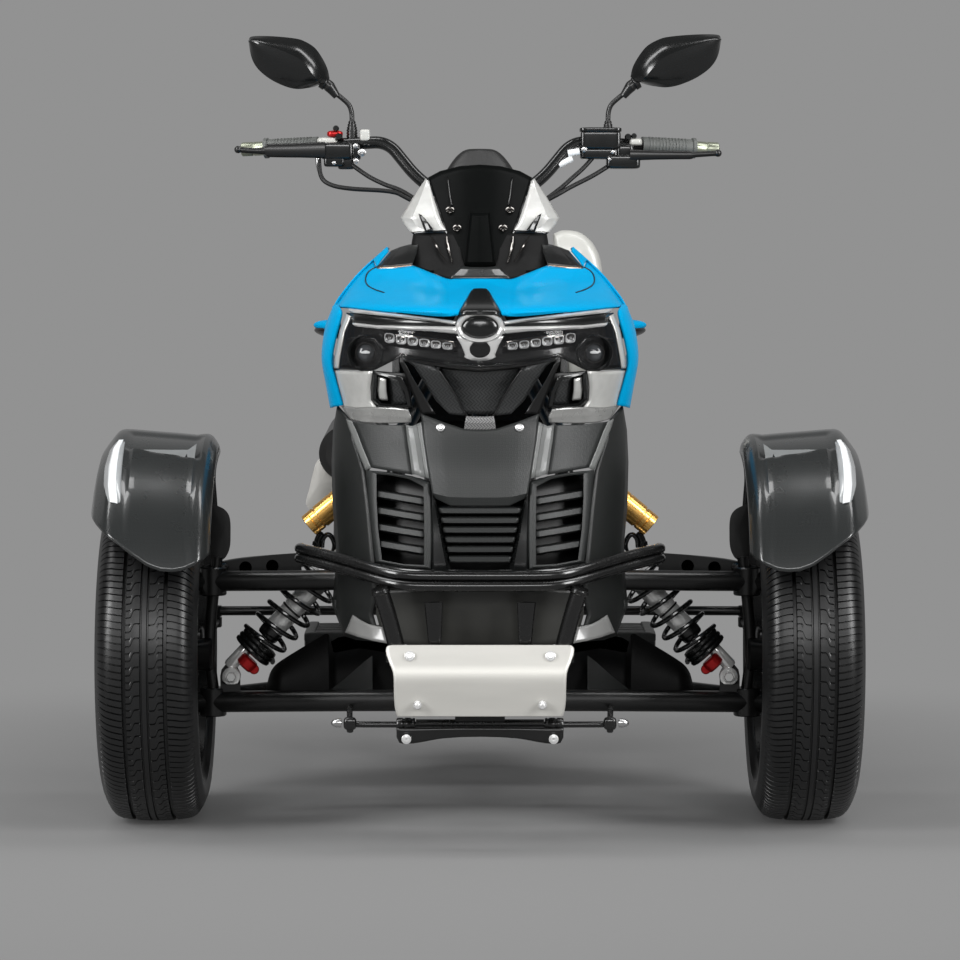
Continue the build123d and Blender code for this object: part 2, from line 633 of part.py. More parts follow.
# Cables from the controls to the steering head
CABLES = [
    [(-286, 358, 1128), (-281, 342, 1094), (-263, 332, 1079), (-227, 324, 1072), (-158, 318, 1067),
     (-124, 314, 1053), (-18, 300, 996)],
    [(-226, 360, 1114), (-197, 348, 1094), (-169, 336, 1080), (-124, 322, 1060), (-20, 294, 985)],
    [(230, 360, 1114), (199, 346, 1095), (160, 332, 1075), (126, 318, 1056), (18, 300, 1000)],
    [(214, 372, 1144), (186, 352, 1112), (164, 340, 1092), (128, 326, 1062), (20, 296, 985)],
]
with BuildPart() as cables:
    for points in CABLES:
        add(tube([(x, back(d), z) for x, d, z in points], 4, 20))
    add(handlebar.part, mode=Mode.SUBTRACT)
    add(steering_column.part, mode=Mode.SUBTRACT)
save(cables.part, "cables")

# Tubular frame
RAIL_R = 16
STRUT_R = 14
ENGINE_FLOOR = 235
SEAT_FLOOR = 690
TANK_FLOOR = 662
PIVOT_BACK, PIVOT_Z = 1150, 330
frame_tubes = []
for side in (1, -1):
    frame_tubes += [
        tube([(side * x, back(d), 215) for x,
              d in ((78, -150), (78, 230), (118, 420), (118, 900), (86, 1120))], RAIL_R, 150),
        tube([(side * x, back(d), z) for x, d,
              z in ((78, -75, 215), (150, -75, 430), (140, -40, 640), (28, 222, 846))],
             STRUT_R, 60),
        tube([(side * x, back(d), z) for x, d, z in ((78, 150, 215), (150, 140, 430), (140, 160, 646))],
             STRUT_R, 60),
        tube([(side * x, back(d), z) for x, d,
              z in ((140, -40, 640), (140, 560, 640), (118, 1130, 600), (90, 1560, 700))],
             STRUT_R, 150),
        rod((side * 150, back(-75), 430), (side * 150, back(140), 430), STRUT_R),
        rod((side * 150, back(140), 430), (side * 20, back(72), 468), 11),
        rod((side * 86, back(1120), 215), (side * 94, back(1130), 600), RAIL_R),
        rod((side * 100, back(1124), 380), (side * 104, back(1480), 668), 11),
    ]
CROSS = [  # half width, distance behind the axle, height
    (78, -150, 215), (78, 230, 215), (140, -40, 640), (140, 560, 640), (118, 1130, 600), (86, 1120,
                                                                                          215), (90, 1560,
                                                                                                 700),
]
BEARINGS = (852, 470)
with BuildPart() as frame:
    for piece in frame_tubes:
        add(piece)
    for half, distance, z in CROSS:
        add(rod((-half, back(distance), z), (half, back(distance), z), STRUT_R))
    for z in BEARINGS:
        add(rod(column_point(z - 20), column_point(z + 20), COLUMN_R + 12))
    for z in BEARINGS:
        add(rod(column_point(z - 30), column_point(z + 30), COLUMN_R + RUNNING_CLEARANCE),
            mode=Mode.SUBTRACT)
    for side in (1, -1):
        for name, z, inner, front, rear, front_r, rear_r in ARMS:
            for station in (front, rear):
                reach = 28 if name == "lower_arm" else 60
                add(box(sorted((side * (inner - reach), side * (inner - BUSH_R - 1))),
                        (back(station - 28.3), back(station + 28.3)), (z - 16, z + 16)))
                for low, high in ((-28.3, -22.3), (22.3, 28.3)):
                    add(box(sorted((side * (inner - 24), side * (inner + 10))),
                            (back(station + low), back(station + high)), (z - 16, z + 16)))
                add(rod((side * inner, back(station - 32), z), (side * inner, back(station + 32), z),
                        PIVOT_R))
        for low, high in clevis_ears:
            add(box(sorted((side * 148, side * (SHOCK_TOP[0] + 10))), (back(low), back(high)),
                    (SHOCK_TOP[1] - 14, SHOCK_TOP[1] + 14)))
        add(rod((side * SHOCK_TOP[0], back(clevis_ears[0][0] - 4), SHOCK_TOP[1]),
                (side * SHOCK_TOP[0], back(clevis_ears[1][1] + 4), SHOCK_TOP[1]), PIVOT_R))
        add(box(sorted((side * 98, side * 112)), (back(1120), back(PIVOT_BACK + 24)),
                (PIVOT_Z - 30, PIVOT_Z + 40)))
        add(tube([(side * 140, back(60), 640), (side * 258, back(110), 760)], 8))
        add(rod((side * 120, back(-75), 340), (side * 151, back(-284), 402), 9))
        add(rod((side * 118, back(470), 215), (side * 118, back(470), 262), 10))
        add(rod((side * 60, back(1500), 690), (side * 60, back(1500), 1010), 10))
        add(rod((side * 56, back(1500), 692), (side * 100, back(1500), 692), 12))
    add(rod((-100, back(PIVOT_BACK), PIVOT_Z), (100, back(PIVOT_BACK), PIVOT_Z), 10))
    for station in (680, 900):
        add(box((-118, 118), (back(station - 14), back(station + 14)), (208, ENGINE_FLOOR)))
    for station in (400, 550):
        add(box((-140, 140), (back(station - 10), back(station + 10)), (634, TANK_FLOOR)))
    for station, half in ((700, 132), (1000, 120)):
        add(box((-half, half), (back(station - 12), back(station + 12)), (606, SEAT_FLOOR)))
    add(box((-100, 100), (back(1290), back(1314)), (626, 782)))
    add(rod((0, back(1560), 700), (0, back(1560), 600), 11))
    add(box((-40, 40), (back(-347.7), back(-150)), (208, 222)))
    add(box((-30, 30), (back(1130), back(1178)), (592, 618)))
    add(box((-14, 14), (back(1140), back(1182)), (560, 620)), mode=Mode.SUBTRACT)
    add(rod((-30, back(1164), 604), (30, back(1164), 604), 8))

# Bumper, skid plate and anti-roll bar
BUMPER_FRONT = -376
with BuildPart() as bumper:
    for lift, pull in ((0, 0), (27, 12)):
        add(tube([(x, back(d + pull), z + lift) for x, d, z in (
            (-290, -205, 462), (-255, -240, 458), (-150, BUMPER_FRONT, 433), (150, BUMPER_FRONT, 433),
            (255, -240, 458), (290, -205, 462))], 13, 110))
    for side in (1, -1):
        add(rod((side * 286, back(-205), 460), (side * 286, back(-195), 490), 13))
        add(tube([(side * 166, back(BUMPER_FRONT), 440), (side * 134, back(BUMPER_FRONT + 8), 330)], 13))
        add(box(sorted((side * 56, side * 88)), (back(-372), back(-362)), (300, 446)))
        add(box(sorted((side * 58, side * 86)), (back(-372), back(-334)), (300, 310)))
        add(box(sorted((side * 58, side * 86)), (back(-344), back(-334)), (222, 310)))
        add(box(sorted((side * 58, side * 86)), (back(-344), back(-160)), (222, 230)))
    add(rod((-136, back(BUMPER_FRONT + 8), 326), (136, back(BUMPER_FRONT + 8), 326), 12))
with BuildPart() as skid_plate:
    with BuildSketch(Plane(origin=(-160, 0, 0), x_dir=(0, 1, 0), z_dir=(1, 0, 0))):
        with BuildLine():
            Polyline(*[(back(d), z) for d, z in (
                (-382, 342), (-390, 294), (-352, 216), (-348, 218), (-385, 294), (-377, 342))], close=True)
        make_face()
    extrude(amount=320)
    add(front_cut([(-146, 345), (146, 345), (154, 337), (141, 292), (138, 210), (-138, 210), (-141, 292),
                   (-154, 337)],
                  -420, -320), mode=Mode.INTERSECT)
    add(bumper.part, mode=Mode.SUBTRACT)
with BuildPart() as antiroll_bar:
    add(tube([(-237, back(-150), 206), (-237, back(-330), 200), (237, back(-330), 200),
              (237, back(-150), 206)], 10, 40))
    for side in (1, -1):
        add(box((side * 118 - 17, side * 118 + 17), (back(-348), back(-312)), (180, 222)))
        add(rod((side * 237, back(-150), 206), (side * 237, back(-60), 206), 9))
    add(front_cut([(-138, 216), (138, 216), (134, 174), (100, 174), (60, 186), (-60, 186), (-100, 174),
                   (-134, 174)], -356, -348))
    add(skid_plate.part, mode=Mode.SUBTRACT)
    for word, flip in (("left", 1), ("right", -1)):
        add(wishbones["lower_arm"] if flip > 0 else mirror(wishbones["lower_arm"], about=Plane.YZ,
                                                           mode=Mode.PRIVATE),
            mode=Mode.SUBTRACT)
    add(frame.part, mode=Mode.SUBTRACT)
    add(bumper.part, mode=Mode.SUBTRACT)

# Tank cover, seat, backrest
with BuildPart() as tank_cover:
    for distance, half, low, shoulder, top in ((336, 150, TANK_FLOOR, 850, 930),
                                               (470, 142, TANK_FLOOR, 820, 905),
                                               (640, 96, TANK_FLOOR, 730, 790)):
        with BuildSketch(Plane(origin=(0, back(distance), 0), x_dir=(1, 0, 0), z_dir=(0, -1, 0))):
            with BuildLine():
                ThreePointArc((-half, shoulder), (0, top), (half, shoulder))
                Polyline((half, shoulder), (half - 14, low), (14 - half, low), (-half, shoulder))
            make_face()
    loft(ruled=True)
SEAT = [
    (642, 690), (1040, 690), (1064, 782), (1430, 782), (1452, 812), (1440, 846), (1110, 856), (1072, 826),
    (1010, 764), (760, 744), (680, 770), (642, 772),
]
with BuildPart() as seat:
    add(side_cut(SEAT, -165, 165))
    edges = seat.part.edges().filter_by(Axis.X).sort_by(Axis.Z)[4:]
    fillet(edges, 14)
    fillet(seat.part.faces().filter_by(Axis.X).edges(), 12)
BACKREST = [(35, 1178), (73, 1132), (104, 1060), (112, 990), (100, 930), (0, 924)]
with BuildPart() as backrest:
    add(front_cut(both_sides([(0, 1180)] + BACKREST), 1430, 1489.7))
    fillet(backrest.part.edges().filter_by(Axis.Y), 16)
    fillet(backrest.part.faces().sort_by(Axis.Y)[0].edges(), 14)

# Tail: side covers joined under the seat, lamp, mudguard with the bare plate holder
TAIL_SIDE = [(1046, 660), (1060, 776), (1430, 776), (1600, 800), (1606, 770), (1560, 730), (1300, 680)]
TAIL_PLAN = [(172, 1040), (172, 1380), (112, 1606)]
with BuildPart() as tail_cover:
    for inset, low, high, mode in ((0, 640, 820, Mode.ADD), (6, 630, 776, Mode.SUBTRACT)):
        with BuildSketch(Plane.XY.offset(low)):
            with BuildLine():
                right = [(x - inset, back(d - inset)) for x, d in TAIL_PLAN]
                Polyline(*right, *[(-x, y) for x, y in reversed(right)], close=True)
            make_face()
        extrude(amount=high - low, mode=mode)
    add(side_cut(TAIL_SIDE, -200, 200), mode=Mode.INTERSECT)
    add(seat.part, mode=Mode.SUBTRACT)
    for side in (1, -1):
        add(rod((side * 60, back(1500), 700), (side * 60, back(1500), 1000), 10 + SEAT_CLEARANCE),
            mode=Mode.SUBTRACT)
tail_lamp = box((-70, 70), (back(1606.2), back(1618)), (772, 797))
with BuildPart() as rear_fender:
    with BuildSketch(Plane.XY):
        with BuildLine():
            Polyline((-112, 292), (-112, 304), (-96, 312), (96, 312), (112, 304), (112, 292), (108, 292),
                     (108, 302),
                     (95, 308), (-95, 308), (-108, 302), (-108, 292), close=True)
        make_face()
    revolve(axis=Axis.X, revolution_arc=95)
with BuildPart() as rear_guard:
    add(rear_fender.part.rotate(Axis.X, 24).moved(rear_place))
    add(box((-95, 95), (back(1900), back(1906)), (430, 560)))
    add(box((-60, 60), (back(1880), back(1906)), (428, 446)))
    for x in (-72.5, 72.5):
        add(rod((x, back(1880), 520), (x, back(1920), 520), 3.5), mode=Mode.SUBTRACT)
with BuildPart() as frame_cut:
    add(frame.part)
    for piece in (rear_guard.part, hood.part, vents.part, tail_cover.part, seat.part, tank_cover.part,
                  bumper.part,
                  antiroll_bar.part):
        add(piece, mode=Mode.SUBTRACT)
frame_main = frame_cut.part.solids().sort_by(SortBy.VOLUME)[-1]

# The frame comes in three bolted sections: the cradle below, the front with the head, and the rear
CRADLE_TOP = 264
HEAD_REAR = back(280)
FAR = 3000
SECTIONS = [  # name, y from, y to, z from, z to
    ("frame_cradle", -FAR, FAR, 0, CRADLE_TOP),
    ("frame_front", -FAR, HEAD_REAR, CRADLE_TOP, FAR),
    ("frame_rear", HEAD_REAR, FAR, CRADLE_TOP, FAR),
]
for name, front, rear, low, high in SECTIONS:
    with BuildPart() as section:
        add(frame_main)
        add(box((-FAR, FAR), (front, rear), (low, high)), mode=Mode.INTERSECT)
    save(section.part, name)

# Engine block, swing arm, rear damper and chain
with BuildPart() as engine:
    add(box((-112, 100), (back(620), back(990)), (ENGINE_FLOOR, 420)))
    fillet(engine.part.edges().filter_by(Axis.X), 30)
    add(rod((100, back(700), 320), (132, back(700), 320), 70))
    add(rod((-130, back(880), 320), (-100, back(880), 320), 76))
    add(box((-80, 80), (back(640), back(800)), (400, 470)))
    for step in range(6):
        add(box((-92, 92), (back(628), back(812)), (440 + 18 * step, 448 + 18 * step)))
    add(box((-70, 70), (back(650), back(790)), (440, 560)))
    add(rod((90, back(960), PIVOT_Z), (111, back(960), PIVOT_Z), 14))
    add(rod((111, back(960), PIVOT_Z), (125, back(960), PIVOT_Z), 31.5))
SWING_X = 156
with BuildPart() as swing_arm:
    add(rod((-70, back(PIVOT_BACK), PIVOT_Z), (70, back(PIVOT_BACK), PIVOT_Z), 24))
    for side in (1, -1):
        add(tube([(side * 50, back(PIVOT_BACK), PIVOT_Z), (side * SWING_X, back(1390), 322),
                  (side * SWING_X, REAR_AXLE_Y, REAR_TYRE_R)], 21, 90))
        add(rod((side * 132, REAR_AXLE_Y, REAR_TYRE_R), (side * 180, REAR_AXLE_Y, REAR_TYRE_R), 26))
    add(rod((-124, back(1268), 326), (124, back(1268), 326), 16))
    add(rod((-186, REAR_AXLE_Y, REAR_TYRE_R), (186, REAR_AXLE_Y, REAR_TYRE_R), REAR_AXLE_R))
    add(rod((124.3, REAR_AXLE_Y, REAR_TYRE_R), (150, REAR_AXLE_Y, REAR_TYRE_R), 19))
    add(rod((-150, REAR_AXLE_Y, REAR_TYRE_R), (-112.3, REAR_AXLE_Y, REAR_TYRE_R), 19))
    for x in (-20.3, 14.3):
        add(box((x, x + 6), (back(1254), back(1282)), (326, 366)))
    add(rod((-24, back(1268), 356), (24, back(1268), 356), 8))
    add(rod((-110, back(PIVOT_BACK), PIVOT_Z), (110, back(PIVOT_BACK), PIVOT_Z), 10 + SEAT_CLEARANCE),
        mode=Mode.SUBTRACT)
REAR_EYES = ((0, back(1268), 356), (0, back(1164), 604))
with BuildPart() as rear_damper:
    low, high = Vector(*REAR_EYES[0]), Vector(*REAR_EYES[1])
    axis = (high - low).normalized()
    for start, end, radius in ((0, 240, 11), (34, 40, 32), (38, 180, 24), (176, 184, 32), (184, 220, 24)):
        add(rod(tuple(low + axis * start), tuple(low + axis * end), radius))
    for step in range(7):
        add(rod(tuple(low + axis * (48 + 18 * step)), tuple(low + axis * (56 + 18 * step)), 30))
    for x, y, z in REAR_EYES:
        add(rod((-14, y, z), (14, y, z), 14))
    for x, y, z in REAR_EYES:
        add(rod((-20, y, z), (20, y, z), 8 + SEAT_CLEARANCE), mode=Mode.SUBTRACT)
CHAIN = [(back(960), PIVOT_Z, 32), (REAR_AXLE_Y, REAR_TYRE_R, SPROCKET_R + 0.5)]
with BuildPart() as chain:
    for grow, mode in ((12, Mode.ADD), (0, Mode.SUBTRACT)):
        with BuildSketch(Plane.YZ.offset(SPROCKET_X - 6)):
            for y, z, radius in CHAIN:
                with Locations((y, z)):
                    Circle(radius + grow)
            make_hull()
        extrude(amount=12, mode=mode)

# Exhaust on the right with its heat shield
with BuildPart() as exhaust:
    add(tube([(x, back(d), z) for x, d, z in (
        (-112, 740, 300), (-215, 740, 300), (-262, 860, 360), (-262, 1010, 560), (-262, 1120,
                                                                                  566))], 20, 45))
    add(rod((-262, back(1040), 566), (-262, back(1080), 566), 40))
    add(rod((-262, back(1080), 566), (-262, back(1500), 580), 55))
    add(rod((-262, back(1500), 580), (-262, back(1540), 582), 32))
    add(box((-262, -150), (back(1380), back(1400)), (640, 650)))
    add(box((-268, -256), (back(1380), back(1400)), (600, 650)))
    add(box((-168, -90), (back(1380), back(1400)), (640, 650)))
    for piece in (frame_main, tail_cover.part, engine.part):
        add(piece, mode=Mode.SUBTRACT)
with BuildPart() as heat_shield:
    add(front_cut([(-342, 472), (-332, 466), (-300, 480), (-300, 490), (-330, 482), (-334, 578),
                   (-342, 578)], 1110, 1380))
    add(box((-336, -310), (back(1200), back(1240)), (556, 568)))
    add(box((-336, -310), (back(1300), back(1340)), (556, 568)))
    add(exhaust.part, mode=Mode.SUBTRACT)

# Footboards on the lower rails and the grey pod on the left flank
boards = {}
for side, word in ((1, "left"), (-1, "right")):
    with BuildPart() as footboard:
        add(box(sorted((side * 104, side * 316)), (back(380), back(620)), (262.3, 272)))
        for step in range(6):
            add(box(sorted((side * 190, side * 306)), (back(396 + 36 * step), back(412 + 36 * step)),
                    (272, 278)))
        add(box(sorted((side * 296, side * 316)), (back(380), back(620)), (252, 280)))
        add(box(sorted((side * 160, side * 316)), (back(372), back(384)), (262, 330)))
    save(footboard.part, f"footboard_{word}")
with BuildPart() as side_pod:
    add(front_cut([(172.3, 716), (230, 730), (252, 800), (250, 930), (228, 990), (190, 1004), (146, 996),
                   (146, 862), (172.3, 856)],
                  1120, 1420))
    fillet(side_pod.part.edges().filter_by(Axis.Y).sort_by(Axis.X)[-5:], 16)
    add(seat.part, mode=Mode.SUBTRACT)
    add(tail_cover.part, mode=Mode.SUBTRACT)

for name, shape in (
    ("bumper", bumper), ("skid_plate", skid_plate), ("antiroll_bar", antiroll_bar),
    ("tank_cover", tank_cover), ("seat", seat), ("backrest", backrest), ("tail_cover", tail_cover),
    ("rear_fender", rear_guard), ("engine", engine), ("swing_arm", swing_arm), ("rear_damper", rear_damper),
    ("chain", chain), ("exhaust", exhaust), ("heat_shield", heat_shield), ("side_pod", side_pod),
):
    save(shape.part, name)
save(tail_lamp, "tail_lamp")
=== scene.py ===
# %% [markdown]
# # Motor trike
# The imported solids come in as a fixed frame: every piece below is made around them, in metres, nose towards
# -Y.

# %% Frame
import bpy
import bmesh
import numpy as np
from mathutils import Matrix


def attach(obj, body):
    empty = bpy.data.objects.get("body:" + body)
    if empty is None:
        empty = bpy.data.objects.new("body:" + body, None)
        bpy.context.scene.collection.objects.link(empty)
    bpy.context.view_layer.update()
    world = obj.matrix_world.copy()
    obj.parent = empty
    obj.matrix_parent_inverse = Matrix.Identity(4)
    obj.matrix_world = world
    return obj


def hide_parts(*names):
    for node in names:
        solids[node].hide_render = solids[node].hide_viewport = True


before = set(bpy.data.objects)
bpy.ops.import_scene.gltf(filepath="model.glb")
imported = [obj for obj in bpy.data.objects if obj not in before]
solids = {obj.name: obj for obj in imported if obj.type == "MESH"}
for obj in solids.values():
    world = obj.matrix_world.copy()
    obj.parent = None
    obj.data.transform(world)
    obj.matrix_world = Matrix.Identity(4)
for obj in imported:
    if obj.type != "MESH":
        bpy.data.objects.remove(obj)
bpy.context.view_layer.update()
print("solids:", len(solids))

# %% [markdown]
# Most new pieces are grids: an array of rows and columns of points becomes a mesh with one four-cornered
# face in each cell. A piece may join several grids. Sharp edges are found by angle, so panels keep crisp
# creases, and the seams and poles of turned shapes are welded.

# %% Mesh helpers
WELD, SLIVER = 2e-6, 1e-6


def lattice(points, wrap=False):
    """Grid of points (rows, columns, 3) as a part: its points in one list, and a face for each cell.
    With wrap, the last column is joined to the first."""
    rows, columns = points.shape[:2]
    index = np.arange(rows * columns).reshape(rows, columns)
    if wrap:
        index = np.concatenate([index, index[:, :1]], axis=1)
    faces = np.stack([index[:-1, :-1], index[:-1, 1:], index[1:, 1:], index[1:, :-1]], axis=-1)
    return points.reshape(-1, 3), faces.reshape(-1, 4)


def merged(parts):
    """Several parts as one, with each part's face numbers moved on by the points before it."""
    starts = np.cumsum([0] + [len(p) for p, f in parts[:-1]])
    faces = np.concatenate([f + start for (p, f), start in zip(parts, starts)])
    return np.concatenate([p for p, f in parts]), faces


def flipped(part):
    """Mirror image of a part across the centre line, with the corners' order turned back outwards."""
    points, faces = part
    return points * (-1, 1, 1), faces[:, ::-1]


def about_face(part):
    """The same part, with its faces turned the other way."""
    points, faces = part
    return points, faces[:, ::-1]


def on_side(part, sign):
    """A part drawn for the left, as it is for sign 1 and as its mirror image for -1."""
    return part if sign > 0 else flipped(part)

# %% Pieces
def piece(name, parts, material, body="chassis", slot=None, stands_for=(), crease=32, wall=0.0):
    """One object from parts; edges sharper than crease, in degrees, stay crisp, and wall is a thickness
    grown behind the surface."""
    points, faces = merged(parts) if isinstance(parts, list) else parts
    data = bpy.data.meshes.new(name)
    data.from_pydata(points.tolist(), [], faces.tolist())
    shape = bmesh.new()
    shape.from_mesh(data)
    bmesh.ops.remove_doubles(shape, verts=shape.verts, dist=WELD)
    bmesh.ops.dissolve_degenerate(shape, edges=shape.edges, dist=SLIVER)
    if not wall:
        bmesh.ops.recalc_face_normals(shape, faces=shape.faces)
    shape.to_mesh(data)
    shape.free()
    data.shade_smooth()
    data.set_sharp_from_angle(angle=np.radians(crease))
    data.materials.append(material)
    thing = bpy.data.objects.new(name, data)
    bpy.context.scene.collection.objects.link(thing)
    if wall:
        skin = thing.modifiers.new("wall", "SOLIDIFY")
        skin.thickness, skin.offset = wall, -1.0
    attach(thing, body)
    if stands_for:
        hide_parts(*stands_for)
    print(name, len(points), "points")
    return thing

# %% [markdown]
# The common forms: turned profiles, smooth paths and grids, and round bars along a path. They follow how
# such parts are made, on a lathe or from bent tube, and a short table of places is enough for each.

# %% Forms
def unit(vector):
    """Vectors at length one, along the last axis."""
    vector = np.asarray(vector, float)
    return vector / np.maximum(np.linalg.norm(vector, axis=-1, keepdims=True), 1e-9)


def across(axis):
    """Two unit vectors square to an axis and to each other."""
    axis = unit(axis)
    side = unit(np.cross(axis, (0.0, 0.0, 1.0) if abs(axis[2]) < 0.9 else (1.0, 0.0, 0.0)))
    return side, np.cross(side, axis)


def turned(start, axis, profile, steps=32):
    """Profile of (along, radius) spun about an axis: start + axis * along + radius * (cos, sin) across."""
    axis, profile = unit(axis), np.asarray(profile, float)
    side, up = across(axis)
    angle = np.linspace(0, 2 * np.pi, steps, endpoint=False)
    ring = np.cos(angle)[:, None] * side + np.sin(angle)[:, None] * up
    points = np.asarray(start) + profile[:, :1, None] * axis + profile[:, 1:, None] * ring
    return lattice(points, wrap=True)


def smooth_path(points, count):
    """Catmull-Rom curve through the points, sampled evenly by number."""
    points = np.asarray(points, float)
    ends = np.concatenate([2 * points[:1] - points[1:2], points, 2 * points[-1:] - points[-2:-1]])
    where = np.linspace(0, len(points) - 1, count)
    cell = np.minimum(where.astype(int), len(points) - 2)
    t = (where - cell)[:, None]
    a, b, c, d = (ends[cell + k] for k in range(4))
    return 0.5 * (2 * b + (c - a) * t
                  + (2 * a - 5 * b + 4 * c - d) * t ** 2 + (3 * b - a - 3 * c + d) * t ** 3)


def smooth_grid(points, rows, columns):
    """Grid of points made finer by the same curve, first along its columns and then along its rows."""
    high, wide = points.shape[:2]
    tall = smooth_path(points.reshape(high, -1), rows).reshape(rows, wide, 3)
    flat = smooth_path(tall.transpose(1, 0, 2).reshape(wide, -1), columns).reshape(columns, rows, 3)
    return flat.transpose(1, 0, 2)


def swept(path, radius, steps=16, flat=1.0):
    """Round bar along a path; radius may change along it, flat squashes it upright. Rings stand square to
    the path."""
    path = np.asarray(path, float)
    way = unit(np.gradient(path, axis=0))
    hint = np.array((0.0, 0.0, 1.0)) if abs(way[:, 2]).mean() < 0.8 else np.array((0.0, 1.0, 0.0))
    side = unit(np.cross(way, hint))
    up = np.cross(side, way)
    angle = np.linspace(0, 2 * np.pi, steps, endpoint=False)
    size = np.broadcast_to(np.asarray(radius, float), len(path))[:, None, None]
    tall = np.broadcast_to(np.asarray(flat, float), len(path))[:, None, None]
    ring = np.cos(angle)[:, None] * side[:, None] + tall * np.sin(angle)[:, None] * up[:, None]
    points = path[:, None] + size * ring
    points = np.concatenate([np.broadcast_to(path[:1, None], points[:1].shape), points,
                             np.broadcast_to(path[-1:, None], points[-1:].shape)])
    return lattice(points, wrap=True)

# %% [markdown]
# Housings, clamps and footboards are rounded blocks, all from one formula, and a bolt is a turned profile.

# %% Blocks and bolts
def signed_power(value, power):
    """Value raised to 2 / power with its sign kept, which squares off a sine or a cosine."""
    return np.sign(value) * np.abs(value) ** (2 / power)


def pillow(centre, half, power=4.0, rows=18, columns=36):
    """Rounded block, a superquadric: each coordinate has sines or cosines of two angles, to 2 / power."""
    a = np.linspace(-np.pi / 2, np.pi / 2, rows)[:, None]
    b = np.linspace(-np.pi, np.pi, columns, endpoint=False)[None, :]
    level_part = signed_power(np.cos(a), power)
    x, y = level_part * signed_power(np.cos(b), power), level_part * signed_power(np.sin(b), power)
    shape = np.stack(np.broadcast_arrays(x, y, signed_power(np.sin(a), power)), axis=-1)
    return lattice(shape * np.asarray(half) + np.asarray(centre), wrap=True)


def bolt(place, axis, radius, height=0.6):
    """Bolt with a washer: a turned profile from its seat up over the rim, and down into a dimple."""
    r, h = radius, radius * height
    washer = [(-r, 0), (-r, r * 1.45), (h * 0.12, r * 1.5), (h * 0.2, r * 1.42), (h * 0.22, r)]
    head = [(h * 0.9, r * 0.95), (h, r * 0.8), (h, r * 0.46), (h * 0.45, r * 0.42), (h * 0.45, 0)]
    return turned(place, axis, washer + head, 18)

# %% [markdown]
# Finishes are node materials on object coordinates, so a pattern stays fixed to its piece. Each takes its
# tone, then a noise that drifts the tone and the roughness a little, and a fine bump of the same grain:
# paint has orange peel, cast metal has a grain, and rubber is dull and uneven.

# %% Finishes
COAT_ROUGH = 0.06
GRAIN_HEIGHT, TWILL_HEIGHT = 0.001, 0.0008


def put(node, values):
    """Set the inputs of a node from a table of names and values."""
    for name, value in values.items():
        node.inputs[name].default_value = value


def finish(name, tone, rough, metal=0.0, coat=0.0, grain=300.0, bump=0.05, drift=0.12, stretch=(1, 1, 1),
        spec=0.5):
    """Principled finish: tone and roughness wander with one noise, and a finer one raises the surface."""
    made = bpy.data.materials.new(name)
    made.use_nodes = True
    tree = made.node_tree
    add, link = tree.nodes.new, tree.links.new
    shader = tree.nodes["Principled BSDF"]
    place, scale = add("ShaderNodeTexCoord"), add("ShaderNodeMapping")
    put(scale, {"Scale": stretch})
    link(place.outputs["Object"], scale.inputs["Vector"])
    cloud, fine = add("ShaderNodeTexNoise"), add("ShaderNodeTexNoise")
    put(cloud, {"Scale": grain / 20, "Detail": 5})
    put(fine, {"Scale": grain})
    for node in (cloud, fine):
        link(scale.outputs["Vector"], node.inputs["Vector"])
    tint = add("ShaderNodeMix")
    tint.data_type = "RGBA"
    darker, lighter = [c * (1 - drift) for c in tone], [min(1, c * (1 + drift)) for c in tone]
    put(tint, {"A": (*darker, 1), "B": (*lighter, 1)})
    link(cloud.outputs["Fac"], tint.inputs["Factor"])
    link(tint.outputs["Result"], shader.inputs["Base Color"])
    wear = add("ShaderNodeMapRange")
    put(wear, {"To Min": rough * (1 - drift), "To Max": rough * (1 + drift)})
    link(cloud.outputs["Fac"], wear.inputs["Value"])
    link(wear.outputs["Result"], shader.inputs["Roughness"])
    relief = add("ShaderNodeBump")
    put(relief, {"Strength": bump, "Distance": GRAIN_HEIGHT})
    link(fine.outputs["Fac"], relief.inputs["Height"])
    link(relief.outputs["Normal"], shader.inputs["Normal"])
    put(shader, {"Metallic": metal, "Coat Weight": coat, "Coat Roughness": COAT_ROUGH,
        "Specular IOR Level": spec})
    return made

# %% [markdown]
# The mudguards and the fascia have a woven look. A picture of a weave would need a file, so the twill is
# worked out in nodes, from the whole and the left-over part of each place.

